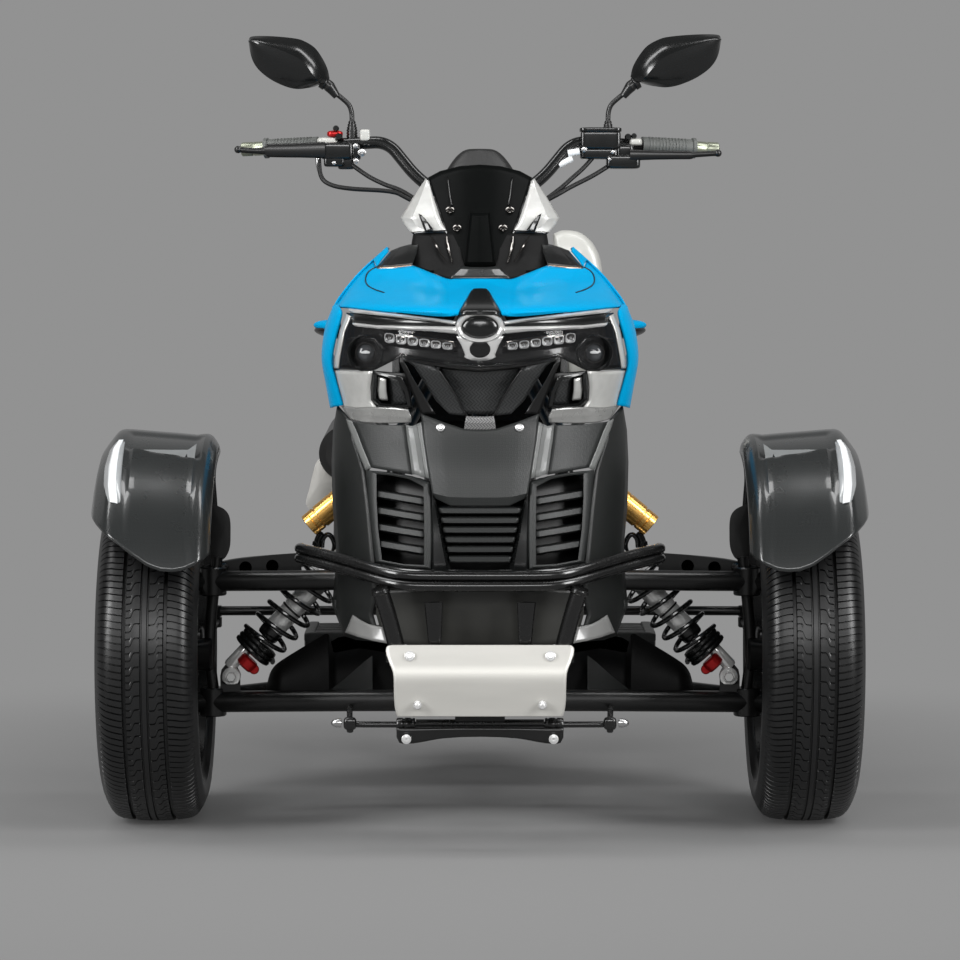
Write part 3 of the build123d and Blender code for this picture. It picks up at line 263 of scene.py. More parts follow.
# %% Woven finish
def weave(name, cell, dark, light, rough=0.3, coat=0.6, turn=0.0, depth=0.35, spec=0.5):
    """Twill of woven fibre: strips run across and upright by turns, two over and two under, seen along Y.
    With u = x / cell and v = z / cell, a strip is upright where (whole u + whole v) modulo 4 is under 2."""
    made = finish(name, light, rough, coat=coat)
    tree = made.node_tree
    add, link = tree.nodes.new, tree.links.new
    shader = tree.nodes["Principled BSDF"]
    place, scale, split = add("ShaderNodeTexCoord"), add("ShaderNodeMapping"), add("ShaderNodeSeparateXYZ")
    put(scale, {"Scale": (1 / cell, 1 / cell, 1 / cell), "Rotation": (0, turn, 0)})
    link(place.outputs["Object"], scale.inputs["Vector"])
    link(scale.outputs["Vector"], split.inputs["Vector"])

    def maths(kind, a, b=None):
        node = add("ShaderNodeMath")
        node.operation = kind
        for socket, value in zip(node.inputs, (a, b)):
            if value is not None:
                if isinstance(value, (int, float)):
                    socket.default_value = value
                else:
                    link(value, socket)
        return node.outputs[0]

    u, v = split.outputs["X"], split.outputs["Z"]
    steps = maths("ADD", maths("FLOOR", u), maths("FLOOR", v))
    over = maths("LESS_THAN", maths("FLOORED_MODULO", steps, 4.0), 2.0)
    crown_u = maths("SINE", maths("MULTIPLY", maths("FRACT", u), np.pi))
    crown_v = maths("SINE", maths("MULTIPLY", maths("FRACT", v), np.pi))
    crown = add("ShaderNodeMix")
    link(over, crown.inputs["Factor"])
    link(crown_u, crown.inputs["A"])
    link(crown_v, crown.inputs["B"])
    tint = add("ShaderNodeMix")
    tint.data_type = "RGBA"
    put(tint, {"A": (*dark, 1), "B": (*light, 1)})
    link(crown.outputs["Result"], tint.inputs["Factor"])
    link(tint.outputs["Result"], shader.inputs["Base Color"])
    relief = add("ShaderNodeBump")
    put(relief, {"Strength": depth, "Distance": TWILL_HEIGHT})
    link(crown.outputs["Result"], relief.inputs["Height"])
    link(relief.outputs["Normal"], shader.inputs["Normal"])
    put(shader, {"Specular IOR Level": spec})
    return made

# %% [markdown]
# The finishes of the trike, each with its tone and roughness. The clear cover is mostly see-through.

# %% Colours
blue_paint = finish("blue_paint", (0.001, 0.29, 0.56), 0.22, coat=0.03, grain=900, bump=0.004, drift=0.05,
    spec=0.008)
black_gloss = finish("black_gloss", (0.005, 0.0054, 0.0054), 0.22, coat=0.25, grain=700, bump=0.0)
black_deep = finish("black_deep", (0.004, 0.004, 0.004), 0.5, grain=500, bump=0.05)
black_satin = finish("black_satin", (0.0042, 0.0042, 0.0042), 0.34, coat=0.12, grain=900, bump=0.003)
black_grained = finish("black_grained", (0.008, 0.009, 0.0085), 0.42, grain=1400, bump=0.25)
carbon = weave("carbon", 0.0021, (0.005, 0.0056, 0.0056), (0.0215, 0.0235, 0.0235), rough=0.28, coat=0.55,
    depth=0.08, spec=0.45)
carbon_cross = weave("carbon_cross", 0.0044, (0.006, 0.006, 0.007), (0.040, 0.042, 0.042), rough=0.4,
    coat=0.2, turn=np.pi / 4)
fascia_black = weave("fascia_black", 0.0024, (0.0074, 0.0087, 0.0083), (0.0225, 0.0244, 0.024), rough=0.5,
    coat=0.0, depth=0.15)
# Painted highlight: the next two are light greys for the black fascia bars and the carbon mudguard edges, set
# where they catch the light.
bar_painted_highlight = finish("bar_painted_highlight", (0.165, 0.170, 0.167), 0.36, coat=0.15, grain=900, bump=0.008)
edge_painted_highlight = finish("edge_painted_highlight", (0.27, 0.28, 0.28), 0.30, metal=0.4, coat=0.5, grain=900, bump=0.004)
bright_trim = finish("bright_trim", (0.80, 0.80, 0.79), 0.16, metal=0.55, coat=0.5, grain=300, bump=0.004,
    drift=0.04)
silver_paint = finish("silver_paint", (0.56, 0.56, 0.54), 0.34, metal=0.35, coat=0.5, grain=1500, bump=0.02)
chrome = finish("chrome", (0.78, 0.78, 0.79), 0.06, metal=1.0, grain=300, bump=0.004, drift=0.03)
dark_chrome = finish("dark_chrome", (0.20, 0.19, 0.18), 0.12, metal=1.0, grain=300, bump=0.005)
plate_aluminium = finish("plate_aluminium", (0.60, 0.59, 0.555), 0.48, metal=0.55, grain=900, bump=0.05,
    drift=0.06, stretch=(0.15, 1, 1))
tube_black = finish("tube_black", (0.0035, 0.0035, 0.0035), 0.27, coat=0.35, grain=900, bump=0.002)
# Painted shade: an unlit dead black with no gloss, for holes and shadowed corners.
painted_shade_black = finish("painted_shade_black", (0.0006, 0.0006, 0.0006), 0.9, grain=500, bump=0.0, spec=0.0)
alloy = finish("alloy", (0.66, 0.66, 0.655), 0.24, metal=0.35, coat=0.5, grain=700, bump=0.01, drift=0.05)
steel = finish("steel", (0.55, 0.55, 0.55), 0.28, metal=1.0, grain=800, bump=0.03)
gold_anodised = finish("gold_anodised", (0.88, 0.50, 0.13), 0.27, metal=0.9, coat=0.2, grain=900, bump=0.02,
    drift=0.08)
tyre_rubber = finish("tyre_rubber", (0.0045, 0.0046, 0.0048), 0.38, grain=700, bump=0.05, drift=0.15,
    spec=0.5)
grip_rubber = finish("grip_rubber", (0.006, 0.006, 0.006), 0.5, grain=1000, bump=0.06, spec=0.35)
smoked = finish("smoked", (0.003, 0.0034, 0.0033), 0.30, grain=1600, bump=0.02, spec=0.03)
red_anodised = finish("red_anodised", (0.45, 0.012, 0.012), 0.3, metal=0.6, grain=600, bump=0.02)
grey_shell = finish("grey_shell", (0.50, 0.50, 0.47), 0.36, coat=0.3, grain=500, bump=0.03)
heat_grey = finish("heat_grey", (0.42, 0.41, 0.385), 0.5, grain=700, bump=0.06)
dark_steel = finish("dark_steel", (0.05, 0.05, 0.05), 0.35, metal=0.8, grain=600, bump=0.04)
lamp_white = finish("lamp_white", (0.85, 0.87, 0.88), 0.25, coat=0.6, grain=400, bump=0.02, drift=0.04)
lens_grey = finish("lens_grey", (0.30, 0.31, 0.315), 0.2, coat=0.8, grain=500, bump=0.03, drift=0.25)
shade_black = finish("shade_black", (0.003, 0.003, 0.003), 0.6, grain=900, bump=0.08, spec=0.2)
lamp_red = finish("lamp_red", (0.42, 0.008, 0.008), 0.15, coat=0.8, grain=400, bump=0.01)
seat_leather = finish("seat_leather", (0.014, 0.014, 0.014), 0.5, grain=1100, bump=0.35)
bronze_edge = finish("bronze_edge", (0.42, 0.33, 0.26), 0.25, metal=0.9, grain=300, bump=0.01)
panel_grey = finish("panel_grey", (0.030, 0.030, 0.027), 0.40, grain=500, bump=0.03)


def clear_cover(name, tone, alpha, rough=0.03):
    """Thin clear plastic: mostly see-through, with the gloss of its own surface."""
    made = finish(name, tone, rough, coat=1.0, grain=200, bump=0.003, drift=0.02)
    put(made.node_tree.nodes["Principled BSDF"], {"Alpha": alpha})
    return made


lens_clear = clear_cover("lens_clear", (0.05, 0.05, 0.052), 0.10)
print("finishes:", len(bpy.data.materials))

# %% [markdown]
# The studio: a pale grey floor that curves up into a backdrop. Away from the trike the backdrop shows one
# even grey, so only the soft shadow under the trike darkens it.

# %% Studio
STUDIO_GREY = 0.287


def studio_finish():
    """Diffuse grey near the trike, and an even glow of the same grey further off, mixed by the distance
    over the floor."""
    made = finish("studio_grey", (0.22, 0.22, 0.22), 0.9, grain=20, bump=0.0, drift=0.01, spec=0.1)
    tree = made.node_tree
    add, link = tree.nodes.new, tree.links.new
    place, far, fade = add("ShaderNodeTexCoord"), add("ShaderNodeVectorMath"), add("ShaderNodeMapRange")
    far.operation = "DISTANCE"
    far.inputs[1].default_value = (0, -0.6, 0)
    link(place.outputs["Object"], far.inputs[0])
    link(far.outputs["Value"], fade.inputs["Value"])
    fade.interpolation_type = "SMOOTHSTEP"
    put(fade, {"From Min": 0.5, "From Max": 2.2, "To Min": 0.12})
    glow, path, mix = add("ShaderNodeEmission"), add("ShaderNodeLightPath"), add("ShaderNodeMixShader")
    put(glow, {"Color": (STUDIO_GREY, STUDIO_GREY, STUDIO_GREY, 1)})
    direct, seen_through, share = (add("ShaderNodeMath") for number in range(3))
    direct.operation = seen_through.operation = "MAXIMUM"
    share.operation = "MULTIPLY"
    link(path.outputs["Is Glossy Ray"], seen_through.inputs[0])
    link(path.outputs["Is Transmission Ray"], seen_through.inputs[1])
    link(path.outputs["Is Camera Ray"], direct.inputs[0])
    link(seen_through.outputs["Value"], direct.inputs[1])
    link(fade.outputs["Result"], share.inputs[0])
    link(direct.outputs["Value"], share.inputs[1])
    link(share.outputs["Value"], mix.inputs["Fac"])
    link(tree.nodes["Principled BSDF"].outputs["BSDF"], mix.inputs[1])
    link(glow.outputs["Emission"], mix.inputs[2])
    link(mix.outputs["Shader"], tree.nodes["Material Output"].inputs["Surface"])
    return made


def backdrop():
    """Floor that rises into a wall: y runs back, z is zero, then a quarter circle, then upright."""
    turn = np.linspace(0, np.pi / 2, 16)
    y = np.concatenate([[-14.0, -9.0, -4.0], 7.0 + 3.0 * np.sin(turn), [10.0]])
    z = np.concatenate([[0.0, 0.0, 0.0], 3.0 - 3.0 * np.cos(turn), [12.0]])
    x = np.linspace(-16.0, 16.0, 9)
    points = np.stack(np.broadcast_arrays(x[None, :], y[:, None], z[:, None]), axis=-1)
    data = bpy.data.meshes.new("studio")
    corners, faces = lattice(points)
    data.from_pydata(corners.tolist(), [], faces.tolist())
    data.shade_smooth()
    data.materials.append(studio_finish())
    thing = bpy.data.objects.new("studio", data)
    bpy.context.scene.collection.objects.link(thing)
    return thing


floor = backdrop()
print("backdrop:", len(floor.data.vertices), "points")

# %% [markdown]
# Five soft lamps and a dim grey room light the trike: on each side one overhead and a tall one further off,
# and one in front.

# %% Lamps
def soft_lamp(name, place, aim, size, watts):
    """Rectangular soft box at a place, looking at a point."""
    data = bpy.data.lights.new(name, "AREA")
    data.shape = "RECTANGLE"
    data.size, data.size_y = size
    data.energy = watts
    lamp = bpy.data.objects.new(name, data)
    lamp.location = place
    way = np.asarray(aim, float) - np.asarray(place, float)
    lamp.rotation_euler = (
        np.arctan2(np.hypot(way[0], way[1]), -way[2]), 0.0, np.arctan2(way[0], -way[1]) + np.pi)
    bpy.context.scene.collection.objects.link(lamp)
    return lamp


for side in (-1, 1):
    soft_lamp(f"over_{side}", (side * 1.9, -0.9, 4.2), (0, -0.7, 0.4), (0.8, 3.2), 60)
    soft_lamp(f"side_{side}", (side * 3.6, -3.6, 2.4), (0, -0.8, 0.6), (1.3, 2.8), 190)
soft_lamp("front", (0, -8.6, 3.6), (0, -0.8, 0.7), (4.0, 1.4), 190)
world = bpy.data.worlds.new("room")
world.use_nodes = True
put(world.node_tree.nodes["Background"], {"Color": (0.30, 0.30, 0.30, 1), "Strength": 0.30})
bpy.context.scene.world = world
bpy.context.scene.view_settings.view_transform = "Standard"
print("studio lamps:", len(bpy.data.lights))

# %% [markdown]
# The camera stands on the centre line, far off and a little above the headlamps, looking slightly down, as
# the photograph does. Its lens is set from the picture's width in pixels, and the level line at the eye's
# height gives the tilt.

# %% Camera
PICTURE = 960
CENTRE_LINE = PICTURE / 2
HORIZON = 258.0
FOCAL = 3857.0
SENSOR = 36.0
EYE = np.array((0.0, -7.260, 0.950))
TILT = np.arctan2(PICTURE / 2 - HORIZON, FOCAL)
lens = bpy.data.cameras.new("front_view")
lens.sensor_width = SENSOR
lens.lens = SENSOR * FOCAL / PICTURE
camera = bpy.data.objects.new("front_view", lens)
camera.location = EYE
camera.rotation_euler = (np.pi / 2 - TILT, 0, 0)
bpy.context.scene.collection.objects.link(camera)
bpy.context.scene.camera = camera
print("lens", round(lens.lens, 1), "mm")


def sight(right, down):
    """Direction of the sight line through a place of the picture, one metre or so per unit of depth."""
    rise = (PICTURE / 2 - np.asarray(down, float)) / FOCAL
    across_view = (np.asarray(right, float) - CENTRE_LINE) / FOCAL
    return np.stack([across_view, np.cos(TILT) + rise * np.sin(TILT), rise * np.cos(TILT) - np.sin(TILT)],
        axis=-1)


def at_depth(marks, y):
    """Marks (across, down) of the picture on the upright plane at one depth y."""
    marks = np.asarray(marks, float)
    ahead = sight(marks[..., 0], marks[..., 1])
    return EYE + ahead * ((np.asarray(y) - EYE[1]) / ahead[..., 1])[..., None]

# %% [markdown]
# The tyres have two wide straight grooves, a fine pair in the middle, hooked sipes on the inner ribs and
# curved grooves over the shoulders. The grid is sheared along those curves, so each groove keeps to its own
# rows and stays crisp; the tread is then a product of a pattern over the rows and one over the columns.

# %% Tyres
AXLE_Y = -0.760
FRONT_AXLE = np.array((0.0, AXLE_Y, 0.281))
REAR_AXLE = np.array((0.0, 0.857, 0.293))
HALF_TRACK = 0.545
SIDES = (("left", 1), ("right", -1))
FRONT_TYRE = {"half": 0.084, "radius": 0.281, "pitches": 150}
REAR_TYRE = {"half": 0.102, "radius": 0.293, "pitches": 112}
TREAD_HALF, TREAD_EDGE = 0.084, 0.91


def dip(distance, half, soft):
    """One inside half, zero beyond half + soft, with a straight slope between."""
    return np.clip((half + soft - np.abs(distance)) / soft, 0, 1)


TREAD_COLUMNS = np.array((
    0.0, 3.6, 4.6, 6.4, 7.4, 8.6, 9.8, 12.0, 14.5, 16.6, 18.2, 19.5, 20.8, 22.4, 24.5, 27.0, 29.0, 30.1,
    31.1, 35.9, 36.9, 38.6, 42.0, 46.5, 51.0, 57.0, 63.0, 67.0, 71.0, 75.0, 77.5)) / (1000 * TREAD_HALF)
TREAD_ROWS = np.array((-0.30, -0.12, -0.05, 0.05, 0.12))


def tyre(half, radius, pitches):
    """Ring about X: half profile of (x, r) from tread to bead, doubled; the angle of a row is its pitch
    number plus a shift that bends with the place across, and r loses the deepest groove there."""
    profile = np.array((
        (0.0, 0.0), (0.18, -0.0003), (0.36, -0.0014), (0.54, -0.0031), (0.68, -0.0050), (0.75, -0.0076),
        (0.80, -0.0105), (0.86, -0.0160), (0.92, -0.0250), (0.965, -0.0340), (1.0, -0.0430),
        (0.982, -0.0560), (0.93, -0.0680), (0.88, -0.0730), (0.79, -0.0760), (0.752, -0.0774),
        (0.732, -0.0906)))
    wall = smooth_path(profile[8:], 22)
    top = TREAD_COLUMNS[TREAD_COLUMNS < TREAD_EDGE]
    across_half = np.concatenate([top, wall[:, 0]])
    sink = np.concatenate([np.interp(top, profile[:11, 0], profile[:11, 1]), wall[:, 1]])
    x = np.concatenate([-across_half[:0:-1], across_half]) * half
    r = radius + np.concatenate([sink[:0:-1], sink])
    place = x * TREAD_HALF / half
    out = np.abs(place)
    in_groove = np.tile((0.0, 0.0, 1.0, 1.0, 0.0), pitches)[:, None]
    even = np.repeat(np.arange(pitches) % 2 == 0, 5)[:, None]
    number = (np.arange(pitches)[:, None] + TREAD_ROWS).reshape(-1, 1)
    middle = np.sign(place) * 0.6 * np.tanh((out - 0.0195) / 0.0024) + 1.0 * (place > 0)
    edge = -0.85 * np.sign(place) * np.clip((out - 0.036) / 0.045, 0, 1) ** 1.4 + 0.25 * (place > 0)
    share = np.clip((out - 0.031) / 0.005, 0, 1)
    turn = (number + middle * (1 - share) + edge * share) * 2 * np.pi / pitches
    on_tread = r > radius - 0.022
    fade = np.clip((out - 0.0365) / 0.002, 0, 1) * np.clip((0.0775 - out) / 0.004, 0, 1)
    shoulder = 0.0036 * in_groove * fade
    hooks = 0.0034 * in_groove * even * dip(out - 0.0195, 0.0100, 0.0016)
    nicks = 0.0028 * in_groove * ~even * dip(out - 0.0265, 0.0030, 0.0014)
    rings = 0.0068 * dip(out - 0.0335, 0.0024, 0.0010) + 0.0030 * dip(out - 0.0055, 0.0009, 0.0010)
    size = r - np.maximum.reduce([shoulder, hooks, nicks, rings + 0 * turn]) * on_tread
    wide = x + np.sign(x) * 0.0022 * dip(r - (radius - 0.066), 0.0015, 0.003)
    points = np.stack([np.broadcast_to(wide, size.shape), size * np.cos(turn), size * np.sin(turn)],
        axis=-1)
    return points.transpose(1, 0, 2)


for side, sign in SIDES:
    tread = lattice(tyre(**FRONT_TYRE) * (sign, 1, 1) + FRONT_AXLE + (sign * HALF_TRACK, 0, 0), wrap=True)
    piece(f"front_tyre_{side}", tread, tyre_rubber, f"wheel_{side}", "tyre", [f"tyre_{side}"], crease=40)
tread = lattice(tyre(**REAR_TYRE) + REAR_AXLE, wrap=True)
piece("back_tyre", tread, tyre_rubber, "wheel_rear", "tyre", ["tyre_rear"], crease=40)

# %% [markdown]
# Each mudguard is an arch over its tyre. Across, its section is a nearly level crown with a rolled inner
# edge and an outer shoulder that falls away; around, it ends in a blunt point at the front and the back. A
# broad panel stands a few millimetres proud of the crown and a band behind it is sunk.

# %% Mudguard form
ARCH = np.array((0.0, AXLE_Y, 0.331))
PRESS = 0.0050
CROWN = np.array((
    (0.442, 0.292), (0.4435, 0.302), (0.448, 0.3095), (0.453, 0.3165), (0.458, 0.3195), (0.466, 0.3192),
    (0.477, 0.3178), (0.505, 0.3205), (0.54, 0.3232), (0.585, 0.327), (0.599, 0.3276), (0.6045, 0.3255),
    (0.6085, 0.3212), (0.6185, 0.3085), (0.6285, 0.2945), (0.6325, 0.280), (0.636, 0.262), (0.641, 0.233),
    (0.646, 0.208)))
HEM = np.array((
    (0.442, 0.470), (0.450, 0.462), (0.462, 0.4545), (0.478, 0.447), (0.496, 0.444), (0.515, 0.4455),
    (0.536, 0.453), (0.560, 0.469), (0.584, 0.487), (0.604, 0.502), (0.622, 0.516), (0.634, 0.529),
    (0.642, 0.541), (0.646, 0.552)))


def ease(value):
    """Smooth step from zero to one."""
    t = np.clip(value, 0, 1)
    return t * t * (3 - 2 * t)


def guard_point(x, turn):
    """Point of the arch: its radius comes from the crown's section, the raised field and the sunk band,
    its angle from the front."""
    radius = np.interp(x, CROWN[:, 0], CROWN[:, 1])
    field = ease((x - 0.4655) / 0.007) * ease((0.5785 - x) / 0.006)
    top = ease((np.radians(66) + (x - 0.52) * 0.6 - turn) / 0.035)
    low = ease((turn - np.radians(22)) / 0.55)
    radius = radius + PRESS * field * top * low
    band = ease((turn - np.radians(62)) / 0.05) * ease((np.radians(86) - turn) / 0.08)
    band = band * ease((x - 0.458) / 0.012) * ease((0.592 - x) / 0.012)
    radius = radius - PRESS * band * (1 - top)
    return np.stack([x, ARCH[1] - radius * np.cos(turn), ARCH[2] + radius * np.sin(turn)], axis=-1)


def guard_shell():
    """Grid over the place across and the way round, from the hem's angle at the front to the same at the
    back; behind the top the inner edge draws in."""
    spread = np.linspace(0, 1, 72)
    run = np.concatenate([[0], np.cumsum(np.hypot(*np.diff(CROWN, axis=0).T))])
    x = np.interp(spread * run[-1], run, CROWN[:, 0])[None, :]
    radius = np.interp(x, CROWN[:, 0], CROWN[:, 1])
    start = np.arcsin(np.clip((np.interp(x, HEM[:, 0], HEM[:, 1]) - ARCH[2]) / radius, 0, 0.999))
    turn = start + np.linspace(0, 1, 130)[:, None] * (np.pi - 2 * start)
    waist = 0.020 * ease((turn - np.pi / 2) / 0.7) * (CROWN[-1, 0] - x) / (CROWN[-1, 0] - CROWN[0, 0])
    points = guard_point(np.broadcast_to(x, turn.shape), turn)
    points[..., 0] += waist
    return points


def guard_strip(edge_low, edge_high, lift, rows=40, columns=14, crown=0.0, proud=0.0):
    """Patch on the shoulder between two edges, each a table of (x, z) in the front view; lift stands it
    proud, and crown domes it: lift + crown * (1 - u^4) * (1 - v^4) along the radius. With proud it lies on
    a plain arch that much outside the crown."""
    v = np.linspace(0, 1, rows)
    edges = []
    for table in (edge_low, edge_high):
        table = np.asarray(table)
        where = np.linspace(0, 1, len(table))
        edges.append((np.interp(v, where, table[:, 0]), np.interp(v, where, table[:, 1])))
    u = np.linspace(0, 1, columns)[None, :]
    x = edges[0][0][:, None] * (1 - u) + edges[1][0][:, None] * u
    z = edges[0][1][:, None] * (1 - u) + edges[1][1][:, None] * u
    radius = np.interp(x, CROWN[:, 0], CROWN[:, 1]) + proud
    turn = np.arcsin(np.clip((z - ARCH[2]) / radius, 0, 0.995))
    flat = guard_point(x, turn)
    if proud:
        flat = np.stack([x, ARCH[1] - radius * np.cos(turn), ARCH[2] + radius * np.sin(turn)], axis=-1)
    out = unit(flat - (ARCH * (0, 1, 1) + np.stack([x - 0.02, 0 * x, 0 * x], axis=-1)))
    rise = lift + crown * (1 - (2 * u - 1) ** 4) * (1 - (2 * v[:, None] - 1) ** 4)
    return lattice(flat + out * rise[..., None])

# %% [markdown]
# On the crown lie painted highlights: light grey strips along the top and the inner edge of the raised panel,
# and a light grey rolled hem along its foot. There are also a narrow border and a band, and on the shoulder a
# lamp of three domed layers: a bright rim, a grey lens and a white core.

# %% Mudguards
LAMP_IN = [(0.5775, 0.545), (0.5785, 0.575), (0.580, 0.610), (0.582, 0.636), (0.5855, 0.645)]
LAMP_OUT = [(0.614, 0.551), (0.6250, 0.574), (0.6275, 0.600), (0.6215, 0.626), (0.6065, 0.646)]
BEVEL_TOP = [
    [(0.5728, 0.6198), (0.545, 0.6264), (0.512, 0.6255), (0.487, 0.6220)],
    [(0.5728, 0.6330), (0.545, 0.6340), (0.512, 0.6332), (0.481, 0.6330)],
]
BEVEL_SIDE = [
    [(0.4708, 0.6420), (0.4705, 0.620), (0.4712, 0.595), (0.4732, 0.567)],
    [(0.4860, 0.6310), (0.4795, 0.614), (0.4768, 0.594), (0.4740, 0.567)],
]
BAND = [
    [(0.580, 0.6322), (0.540, 0.6362), (0.510, 0.6392), (0.472, 0.6425)],
    [(0.592, 0.6495), (0.550, 0.6475), (0.510, 0.6465), (0.462, 0.6460)],
]
BORDER = [
    [(0.5735, 0.541), (0.5745, 0.575), (0.576, 0.610), (0.5785, 0.637)],
    [(0.5775, 0.541), (0.5785, 0.575), (0.580, 0.610), (0.582, 0.637)],
]
BEVEL_PROUD = 0.0068


def shrunk(near, far, share):
    """Edge moved a share of the way to the far one, and drawn in by 2 mm at each end."""
    return [(p[0] + (q[0] - p[0]) * share, p[1] + (q[1] - p[1]) * share + 0.004 * (0.5 - number / 4))
            for number, (p, q) in enumerate(zip(near, far))]


for side, sign in SIDES:
    shell = about_face(lattice(guard_shell()))
    piece(f"guard_{side}", on_side(shell, sign), carbon, f"knuckle_{side}", "black_gloss",
        [f"fender_{side}"], crease=35, wall=0.0035)
    rim = guard_strip(LAMP_IN, LAMP_OUT, 0.0015, crown=0.002)
    lamp = guard_strip(shrunk(LAMP_IN, LAMP_OUT, 0.14), shrunk(LAMP_OUT, LAMP_IN, 0.14), 0.003,
        crown=0.0045)
    piece(f"guard_lamp_rim_{side}", on_side(rim, sign), chrome, f"knuckle_{side}", "chrome", wall=0.003)
    piece(f"guard_lamp_{side}", on_side(lamp, sign), lens_grey, f"knuckle_{side}", "clear", wall=0.003)
    core = guard_strip(shrunk(LAMP_IN, LAMP_OUT, 0.30), shrunk(LAMP_OUT, LAMP_IN, 0.36), 0.006, crown=0.003)
    piece(f"guard_lamp_core_{side}", on_side(core, sign), lamp_white, f"knuckle_{side}", "clear",
        wall=0.003)
    hem_x = np.linspace(0.447, 0.644, 60)
    hem_rise = np.interp(hem_x, HEM[:, 0], HEM[:, 1]) - ARCH[2]
    hem_turn = np.arcsin(hem_rise / np.interp(hem_x, CROWN[:, 0], CROWN[:, 1]))
    # Painted highlight: light grey strips stand proud along the panel's top and inner bevels, and a light
    # grey rolled hem runs along the lower edge, where the black carbon catches the light.
    edges = [guard_strip(*BEVEL_TOP, 0.0, 40, 8, proud=BEVEL_PROUD)]
    edges += [guard_strip(*BEVEL_SIDE, 0.0, 30, 8, proud=BEVEL_PROUD)]
    edges += [swept(guard_point(hem_x, hem_turn + 0.012), 0.0030, 10)]
    piece(f"guard_painted_highlights_{side}", [on_side(part, sign) for part in edges], edge_painted_highlight, f"knuckle_{side}",
        "black_gloss", crease=50)
    shades = [guard_strip(*BORDER, 0.0010, 20, 3), guard_strip(*BAND, 0.0010, 24, 8)]
    piece(f"guard_shades_{side}", [on_side(part, sign) for part in shades], carbon_cross, f"knuckle_{side}",
        "black_gloss", crease=50)

# %% [markdown]
# The nose is one bowed form that carries every front panel. Level sections give its half width, how far
# forward its middle is and where its corners are; between them the values run on a smooth curve. A panel is
# drawn as a net of points in the front view, in picture units, each with a lift towards the viewer in
# millimetres. Every point is carried along the line of sight until it meets the form, so drawings and
# camera agree.

# %% Nose form
NOSE = np.array((
    (0.300, 0.236, -0.325, -0.130), (0.317, 0.236, -0.330, -0.130), (0.440, 0.244, -0.345, -0.112),
    (0.600, 0.248, -0.322, -0.106), (0.690, 0.247, -0.288, -0.090), (0.790, 0.262, -0.330, -0.075),
    (0.862, 0.246, -0.335, -0.060), (0.915, 0.212, -0.090, 0.020), (0.965, 0.160, 0.020, 0.090),
    (1.000, 0.120, 0.080, 0.140), (1.030, 0.100, 0.120, 0.170)))
COWL = np.array((
    (0.880, 0.146, -0.042, 0.030), (0.925, 0.150, 0.000, 0.072), (1.020, 0.160, 0.082, 0.154),
    (1.118, 0.122, 0.166, 0.222), (1.150, 0.110, 0.194, 0.244)))


def level(table, z):
    """Values of a table of level sections at a height, on a cubic through them with slopes from the
    neighbours."""
    heights, values = table[:, 0], table[:, 1:]
    slope = np.diff(values, axis=0) / np.diff(heights)[:, None]
    tangent = np.concatenate([slope[:1], 0.5 * (slope[:-1] + slope[1:]), slope[-1:]])
    tangent[1:-1] = np.where(slope[:-1] * slope[1:] > 0, tangent[1:-1], 0)
    z = np.clip(z, heights[0], heights[-1])
    cell = np.clip(np.searchsorted(heights, z) - 1, 0, len(heights) - 2)
    width = (heights[cell + 1] - heights[cell])[..., None]
    t = (z - heights[cell])[..., None] / width
    return ((1 + 2 * t) * (1 - t) ** 2 * values[cell] + t * (1 - t) ** 2 * width * tangent[cell]
            + t * t * (3 - 2 * t) * values[cell + 1] + t * t * (t - 1) * width * tangent[cell + 1])


BOW = 2.1
FIRST_REACH = 6.3


def form_front(table, x, z):
    """Depth of a bowed form at a place in the front view: an ellipse arc of power BOW, from its middle
    to its corner."""
    half, front, corner = np.moveaxis(level(table, z), -1, 0)
    q = np.clip(np.abs(x) / half, 0, 0.992)
    return AXLE_Y + corner - (corner - front) * (1 - q ** BOW) ** (1 / BOW)


def seen(marks, table=NOSE):
    """Marks (across, down, lift) of the front view as points on a form. The sight line leaves the eye
    through the mark; its length is set again and again from the form's depth there, until both agree."""
    marks = np.asarray(marks, float)
    right, down, lift = np.moveaxis(marks, -1, 0)
    ahead = sight(right, down)
    reach = np.full(right.shape, FIRST_REACH)
    for step in range(24):
        place = EYE + ahead * reach[..., None]
        target = form_front(table, place[..., 0], place[..., 2]) - lift / 1000
        reach = 0.5 * reach + 0.5 * (target - EYE[1]) / ahead[..., 1]
    return EYE + ahead * reach[..., None]


print("nose form at 0.6 m:", np.round(form_front(NOSE, np.array(0.0), np.array(0.6)), 3))

# %% [markdown]
# A panel is a net of marks, cut finer and carried to the form. Most panels come in pairs, so short helpers
# make a piece and its mirror image together.

# %% Nets and pairs
def net(rows, fine=(4, 4), table=NOSE):
    """Net of marks, each cell cut finer by straight mixing, then carried to the form."""
    marks = np.asarray(rows, float)
    for axis, cuts in enumerate(fine):
        where = np.linspace(0, marks.shape[axis] - 1, (marks.shape[axis] - 1) * cuts + 1)
        low = np.minimum(where.astype(int), marks.shape[axis] - 2)
        t = (where - low).reshape([-1, 1, 1] if axis == 0 else [1, -1, 1])
        marks = np.take(marks, low, axis) * (1 - t) + np.take(marks, low + 1, axis) * t
    return about_face(lattice(seen(marks, table)))


def both(part):
    """A part and its mirror image."""
    return [part, flipped(part)]


def pair(name, part, material, slot, stands_for=(), **edges):
    """Piece of the chassis: a part of one side and its mirror image."""
    return piece(name, both(part), material, "chassis", slot, stands_for, **edges)


def panel(name, rows, fine, material, slot, stands_for=(), table=NOSE, wall=0.003, **edges):
    """Pair made of a net of marks, with a wall."""
    return pair(name, net(rows, fine, table), material, slot, stands_for, wall=wall, **edges)


def ring_net(loops, fine=(1, 4), table=NOSE):
    """Net whose rows are closed loops of marks."""
    return net([list(loop) + [loop[0]] for loop in loops], fine, table)

# %% [markdown]
# The hood is thin painted skin: a bonnet with two soft bulges and a valley towards the badge, a strip down
# each side of the lamps, and side walls that run back to the tank. Its front edge is folded down by a few
# millimetres.

